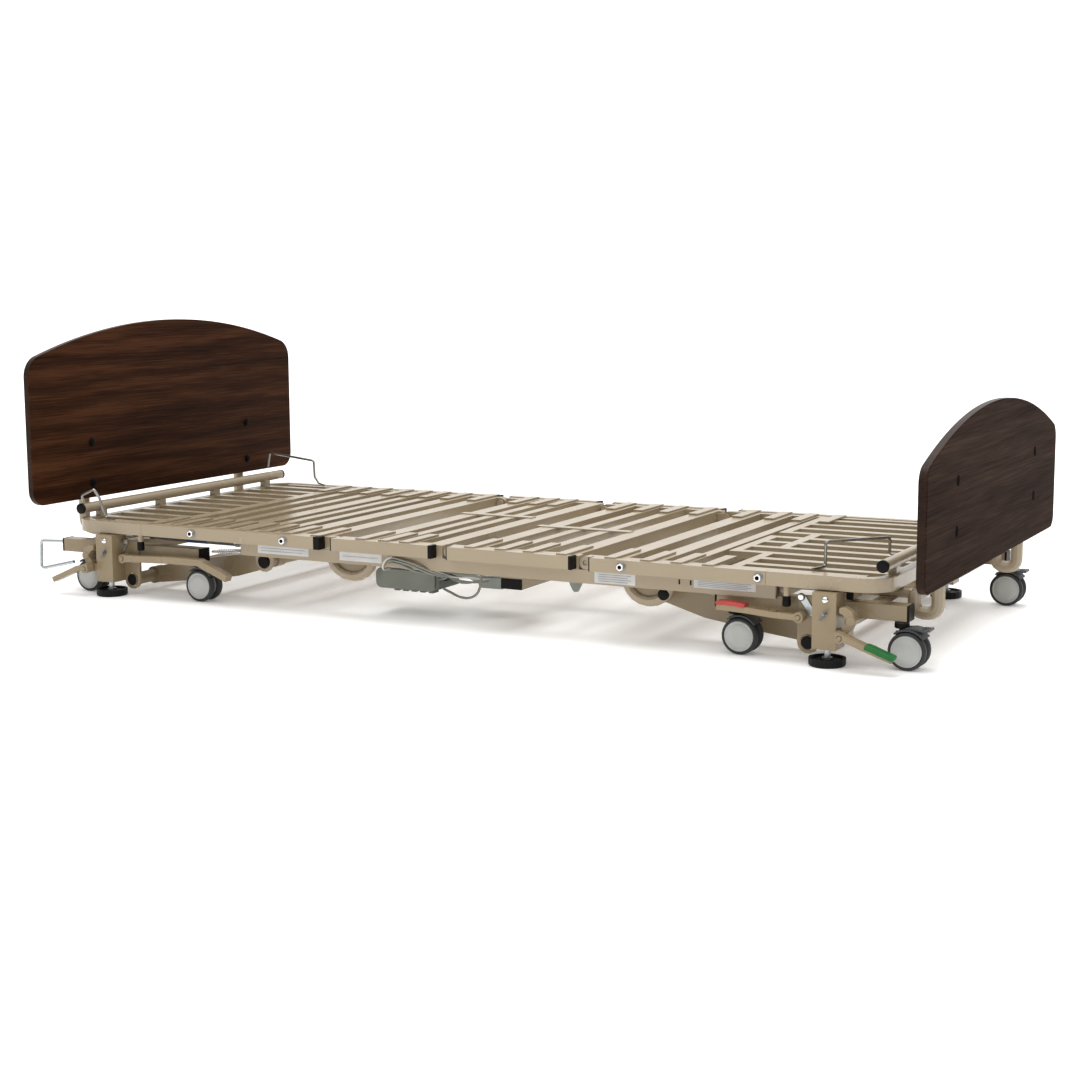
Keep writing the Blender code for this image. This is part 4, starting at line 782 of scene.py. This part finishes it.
HANGING_R, TOP_LEAD_R = 0.0030, 0.0026
HANGING_ROUTE = [(-0.0814, -0.338, 0.0680), (-0.060, -0.343, 0.0620), (-0.030, -0.352, 0.0550),
                 (0.000, -0.360, 0.0560), (0.024, -0.366, 0.0680), (0.036, -0.370, 0.0880),
                 (0.0400, -0.372, 0.1080), (0.0410, -0.373, 0.1300)]
TOP_ROUTES = {
    "lead_top_a": [(-0.236, -0.350, 0.1095), (-0.216, -0.355, 0.1175), (-0.184, -0.359, 0.1210),
                   (-0.140, -0.356, 0.1190), (-0.100, -0.352, 0.1140), (-0.050, -0.356, 0.1110),
                   (0.010, -0.360, 0.1090), (0.060, -0.362, 0.1080), (0.114, -0.360, 0.1100)],
    "lead_top_b": [(-0.240, -0.342, 0.1100), (-0.228, -0.354, 0.1230), (-0.206, -0.372, 0.1400),
                   (-0.194, -0.394, 0.1535)],
    "lead_top_g": [(-0.074, -0.300, 0.1000), (-0.056, -0.306, 0.1030), (-0.030, -0.300, 0.0950),
                   (-0.014, -0.286, 0.0880), (-0.004, -0.272, 0.0900)],
    "lead_top_h": [(-0.074, -0.322, 0.0920), (-0.056, -0.330, 0.0900), (-0.036, -0.330, 0.0850),
                   (-0.014, -0.318, 0.0860), (0.006, -0.296, 0.0900)],
    "lead_top_i": [(-0.250, -0.352, 0.1090), (-0.232, -0.361, 0.1150), (-0.200, -0.364, 0.1175),
                   (-0.160, -0.363, 0.1150), (-0.120, -0.362, 0.1165), (-0.080, -0.362, 0.1100),
                   (-0.046, -0.358, 0.1030), (-0.010, -0.356, 0.1040), (0.034, -0.360, 0.1110),
                   (0.078, -0.360, 0.1180), (0.114, -0.356, 0.1190)],
    "lead_top_j": [(-0.206, -0.345, 0.1095), (-0.186, -0.356, 0.1160), (-0.150, -0.361, 0.1190),
                   (-0.110, -0.358, 0.1150), (-0.078, -0.352, 0.1060), (-0.046, -0.344, 0.0940),
                   (-0.014, -0.330, 0.0880), (0.010, -0.312, 0.0880), (0.018, -0.297, 0.0900)],
    "lead_top_k": [(-0.176, -0.4265, 0.1515), (-0.160, -0.4345, 0.1515), (-0.138, -0.4385, 0.1485),
                   (-0.106, -0.4390, 0.1425), (-0.080, -0.4360, 0.1330), (-0.060, -0.4260, 0.1235),
                   (-0.047, -0.4080, 0.1150), (-0.046, -0.3880, 0.1080), (-0.056, -0.3700, 0.1010),
                   (-0.074, -0.3590, 0.0960)],
    "lead_top_l": [(-0.178, -0.4265, 0.1430), (-0.160, -0.4345, 0.1445), (-0.138, -0.4385, 0.1425),
                   (-0.110, -0.4390, 0.1365), (-0.086, -0.4350, 0.1275), (-0.068, -0.4240, 0.1190),
                   (-0.056, -0.4060, 0.1120), (-0.054, -0.3860, 0.1050), (-0.062, -0.3690, 0.0985),
                   (-0.080, -0.3580, 0.0940)],
    "lead_top_m": [(-0.180, -0.4265, 0.1365), (-0.162, -0.4345, 0.1385), (-0.142, -0.4380, 0.1365),
                   (-0.122, -0.4360, 0.1300), (-0.106, -0.4270, 0.1220), (-0.096, -0.4110, 0.1165),
                   (-0.092, -0.3920, 0.1140), (-0.094, -0.3730, 0.1120), (-0.100, -0.3560, 0.1080)],
    "lead_top_n": [(-0.158, -0.4265, 0.1540), (-0.169, -0.4345, 0.1520), (-0.180, -0.4380, 0.1450),
                   (-0.188, -0.4370, 0.1340), (-0.194, -0.4290, 0.1240), (-0.200, -0.4140, 0.1175),
                   (-0.206, -0.3940, 0.1145), (-0.212, -0.3730, 0.1120), (-0.220, -0.3530, 0.1080)],
    "lead_top_c": [(-0.074, -0.330, 0.0950), (-0.045, -0.336, 0.0990), (-0.010, -0.342, 0.1060),
                   (0.035, -0.344, 0.1180), (0.072, -0.340, 0.1290), (0.094, -0.334, 0.1380)],
    "lead_top_d": [(-0.215, -0.330, 0.1100), (-0.200, -0.340, 0.1170), (-0.165, -0.348, 0.1180),
                   (-0.125, -0.350, 0.1150), (-0.085, -0.346, 0.1150), (-0.045, -0.348, 0.1080),
                   (-0.005, -0.346, 0.1010), (0.022, -0.326, 0.0970), (0.026, -0.297, 0.0960)],
    "lead_top_e": [(-0.180, -0.300, 0.1100), (-0.165, -0.320, 0.1180), (-0.130, -0.336, 0.1215),
                   (-0.090, -0.340, 0.1190), (-0.050, -0.338, 0.1090), (-0.015, -0.326, 0.1010),
                   (0.002, -0.297, 0.0980)],
    "lead_top_f": [(-0.150, -0.350, 0.1100), (-0.136, -0.357, 0.1210), (-0.108, -0.372, 0.1360),
                   (-0.084, -0.394, 0.1535)],
}
PALE_LEADS = "bdfin"                                     # last letters of the pale ones


def declare_lead(route, between):
    """Work out the smoothed points of a lead's route; nothing is done with them."""
    points = smooth_route(route, between)


def leads():
    """The hanging lead with its clip on the rail, and the bundle on and around the control box."""
    lead = wire("hanging_lead", HANGING_ROUTE, HANGING_R, LEAD, "deck", between=3)
    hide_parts("control_lead")
    declare_lead(HANGING_ROUTE, 3)
    end = Vector(HANGING_ROUTE[-1])
    bm = bmesh.new()
    add_box(bm, end.x - 0.0080, end.x + 0.0080, end.y - 0.0060, end.y + 0.0060, end.z - 0.0050, 0.1508)
    new_piece("lead_clip", bm, BLACK_CAP, "deck", bevel=0.0018, segments=3)
    for name, route in TOP_ROUTES.items():
        top_lead = wire(name, route, TOP_LEAD_R, LEAD_PALE if name[-1] in PALE_LEADS else LEAD, "deck")
        declare_lead(route, 6)


def actuator_details():
    """Band and collar on the head lift unit, return spring, and the backrest and knee units."""
    low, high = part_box("head_lift_actuator_body")
    y, z = (low[1] + high[1]) / 2, (low[2] + high[2]) / 2
    bm = bmesh.new()
    band = [(0.0092, -0.8250), (0.0101, -0.8248), (0.0101, -0.7602), (0.0092, -0.7600)]
    add_lathe(bm, band, (0, y, z), (1, 0, 0), 24, hollow=True)
    new_piece("lift_unit_band", bm, BLUE, "deck")
    bm = bmesh.new()
    collar = [(0.0064, -0.6760), (0.0118, -0.6740), (0.0118, -0.6640), (0.0064, -0.6635)]
    add_lathe(bm, collar, (0, y, z), (1, 0, 0), 24, hollow=True)
    new_piece("lift_unit_collar", bm, CHROME, "deck")
    turns, spring_r = 13, 0.0062
    start, end = Vector((-0.7020, -0.3950, 0.1240)), Vector((-0.6300, -0.3950, 0.1285))
    coil = []
    for i in range(turns * 12 + 1):
        turn = i * math.pi / 6
        around = Vector((0, math.cos(turn), math.sin(turn))) * spring_r
        coil.append(start + (end - start) * (i / (turns * 12)) + around)
    wire("return_spring", coil, 0.0010, CHROME, "deck", between=0)
    bm = bmesh.new()
    add_rod(bm, start - Vector((0.020, 0, 0.001)), end + Vector((0.026, 0, 0.001)), 0.0030, 14)
    add_rod(bm, end + Vector((0.026, -0.008, 0.001)), end + Vector((0.026, 0.008, 0.001)), 0.0085, 20)
    add_rod(bm, end + Vector((0.026, -0.010, 0.001)), end + Vector((0.026, 0.010, 0.001)), 0.0050, 16)
    new_piece("return_spring_rod", bm, CHROME, "deck", bevel=0.0008)
    bm = bmesh.new()
    add_box(bm, end.x + 0.018, end.x + 0.034, -0.3985, -0.3915, end.z, 0.1530)
    new_piece("return_spring_lug", bm, COAT, "deck", bevel=0.0012)
    bm = bmesh.new()
    nose = [(0.0200, 0.0), (0.0200, 0.0060), (0.0186, 0.0080), (0.0170, 0.0240), (0.0110, 0.0380),
            (0.0085, 0.0400), (0.0085, 0.0460), (0.0, 0.0475)]
    add_lathe(bm, nose, (-0.0080, -0.2700, 0.0945), (-1, 0, 0), 28)
    new_piece("back_actuator_body_nose", bm, ACTUATOR, "deck")
    bm = bmesh.new()
    can = [(0.0165, 0.0), (0.0165, 0.0200), (0.0150, 0.0260), (0.0080, 0.0400), (0.0055, 0.0430),
           (0.0, 0.0440)]
    add_lathe(bm, can, (0.1510, -0.1000, 0.0845), (0, 0, -1), 28)
    new_piece("knee_actuator_body_can", bm, ACTUATOR, "deck")
    drive_unit("back_actuator_body", tube=(-0.175, 0.072), motor=(-0.010, 0.062), y=-0.220,
               level=(0.070, 0.122), motor_end=-0.300)
    drive_unit("knee_actuator_body", tube=(0.060, 0.338), motor=(0.286, 0.322), y=-0.100,
               level=(0.084, 0.120), motor_end=-0.210)


def drive_unit(node, tube, motor, y, level, motor_end):
    """Actuator body: ribbed tube with end collars, rounded motor housing and its seam."""
    bm = bmesh.new()
    x0, x1 = tube
    profile = [(0.0088, x0 + 0.0200), (0.0092, x0 + 0.0002), (0.0150, x0 + 0.0002), (0.0166, x0 + 0.0020),
               (0.0166, x0 + 0.0180), (0.0152, x0 + 0.0200), (0.0152, x0 + 0.0260), (0.0166, x0 + 0.0280),
               (0.0168, x1 - 0.0060), (0.0150, x1 - 0.0010), (0.0, x1 - 0.0010)]
    add_lathe(bm, profile, (0, y, DRIVE_Z), (1, 0, 0), 36)
    tube_piece = new_piece(node + "_tube", bm, ACTUATOR, "deck", sharp=50)
    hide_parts(node)
    bm = bmesh.new()
    add_box(bm, motor[0], motor[1], motor_end + 0.0003, y - 0.004, level[0] + 0.0003, level[1] - 0.0003)
    long_edges = [e for e in bm.edges if abs(e.verts[0].co.y - e.verts[1].co.y) > 0.02]
    bmesh.ops.bevel(bm, geom=long_edges, offset=0.010, segments=6, affect="EDGES", profile=0.5)
    new_piece(node + "_motor", bm, ACTUATOR, "deck", bevel=0.0030, segments=3)
    bm = bmesh.new()
    for seam in (motor_end + 0.014, motor_end + 0.050):
        add_box(bm, motor[0] + 0.012, motor[1] - 0.012, seam, seam + 0.0016,
                level[0] + 0.0001, level[0] + 0.0008)
    new_piece(node + "_seam", bm, SHADOW, "deck")
    bm = bmesh.new()
    add_box(bm, x1 - 0.0080, x1 + 0.0135, y - 0.0059, y + 0.0059, DRIVE_Z - 0.0079, DRIVE_Z + 0.0079)
    new_piece(node + "_eye", bm, STEEL_DARK, "deck", bevel=0.0022, segments=3)


# ---------------------------------------------------------------- studio
FLOOR_SIZE = 60.0
KEY_ENERGY, KEY_SPREAD, KEY_TILT = 1.6, 45, (-6, -5, 0)          # angles in degrees
CAMERA_AT = (2.17195, -4.12584, 0.83665)
CAMERA_TURN = (0.4846, -0.1471, -0.0053)                          # yaw, pitch and roll in radians
CAMERA_LENS, SENSOR = 62.51, 36.0                                 # millimetres


def studio_world(tree):
    """White backdrop on the far side, softboxes overhead and a dim room on the near side."""
    place = tree.nodes.new("ShaderNodeTexCoord")
    facing = tree.nodes.new("ShaderNodeVectorMath")
    facing.operation = "DOT_PRODUCT"
    facing.inputs[1].default_value = (-0.466, 0.885, 0.0)
    split = tree.nodes.new("ShaderNodeSeparateXYZ")
    tree.links.new(place.outputs["Generated"], facing.inputs[0])
    tree.links.new(place.outputs["Generated"], split.inputs["Vector"])
    spans = []
    for source, low, high, dim, bright in ((facing.outputs["Value"], 0.30, 0.75, 0.30, 1.04),
                                           (split.outputs["Z"], 0.30, 0.62, 0.30, 1.30)):
        span = tree.nodes.new("ShaderNodeMapRange")
        span.interpolation_type = "SMOOTHSTEP"
        span.inputs["From Min"].default_value = low
        span.inputs["From Max"].default_value = high
        span.inputs["To Min"].default_value = dim
        span.inputs["To Max"].default_value = bright
        tree.links.new(source, span.inputs["Value"])
        spans.append(span)
    brightest = tree.nodes.new("ShaderNodeMath")
    brightest.operation = "MAXIMUM"
    for i, span in enumerate(spans):
        tree.links.new(span.outputs["Result"], brightest.inputs[i])
    background = tree.nodes["Background"]
    background.inputs["Color"].default_value = (1.0, 1.0, 1.0, 1.0)
    tree.links.new(brightest.outputs["Value"], background.inputs["Strength"])


def studio():
    """White floor, world and one soft key light."""
    bm = bmesh.new()
    bmesh.ops.create_grid(bm, x_segments=1, y_segments=1, size=FLOOR_SIZE)
    mesh = bpy.data.meshes.new("floor")
    bm.to_mesh(mesh)
    bm.free()
    floor = bpy.data.objects.new("floor", mesh)
    bpy.context.scene.collection.objects.link(floor)
    white = bpy.data.materials.new("floor_white")
    white.use_nodes = True
    shader = shader_of(white)
    shader.inputs["Base Color"].default_value = (0.92, 0.915, 0.908, 1.0)
    shader.inputs["Roughness"].default_value = 0.55
    shader.inputs["Specular IOR Level"].default_value = 0.25
    shader.inputs["Emission Color"].default_value = (1.0, 0.992, 0.982, 1.0)
    shader.inputs["Emission Strength"].default_value = 0.16
    mesh.materials.append(white)
    world = bpy.data.worlds.new("studio")
    bpy.context.scene.world = world
    world.use_nodes = True
    studio_world(world.node_tree)
    key = bpy.data.lights.new("key", "SUN")
    key.energy = KEY_ENERGY
    key.angle = math.radians(KEY_SPREAD)
    key_object = bpy.data.objects.new("key", key)
    key_object.rotation_euler = [math.radians(turn) for turn in KEY_TILT]
    bpy.context.scene.collection.objects.link(key_object)
    settings = bpy.context.scene.view_settings
    settings.view_transform = "Standard"
    settings.look = "None"


def camera():
    """Camera at the usual catalogue angle: near the foot end, a little above the deck."""
    yaw, pitch, roll = CAMERA_TURN
    right = Vector((math.cos(yaw), math.sin(yaw), 0))
    forward = Vector((-math.sin(yaw) * math.cos(pitch), math.cos(yaw) * math.cos(pitch), math.sin(pitch)))
    up = right.cross(forward)
    turned_right = right * math.cos(roll) + up * math.sin(roll)
    turned_up = up * math.cos(roll) - right * math.sin(roll)
    data = bpy.data.cameras.new("camera")
    data.sensor_width = SENSOR
    data.lens = CAMERA_LENS
    view = bpy.data.objects.new("camera", data)
    axes = Matrix((turned_right, turned_up, -forward)).transposed().to_4x4()
    view.matrix_world = Matrix.Translation((SHIFT, 0, 0)) @ Matrix.Translation(CAMERA_AT) @ axes
    bpy.context.scene.collection.objects.link(view)
    bpy.context.scene.camera = view


camera()
studio()
dress_nodes()
leads()
boards()
rails()
deck_details()
base_details()
pad_details()
casters()
pedal_details()
control_unit()
actuator_details()
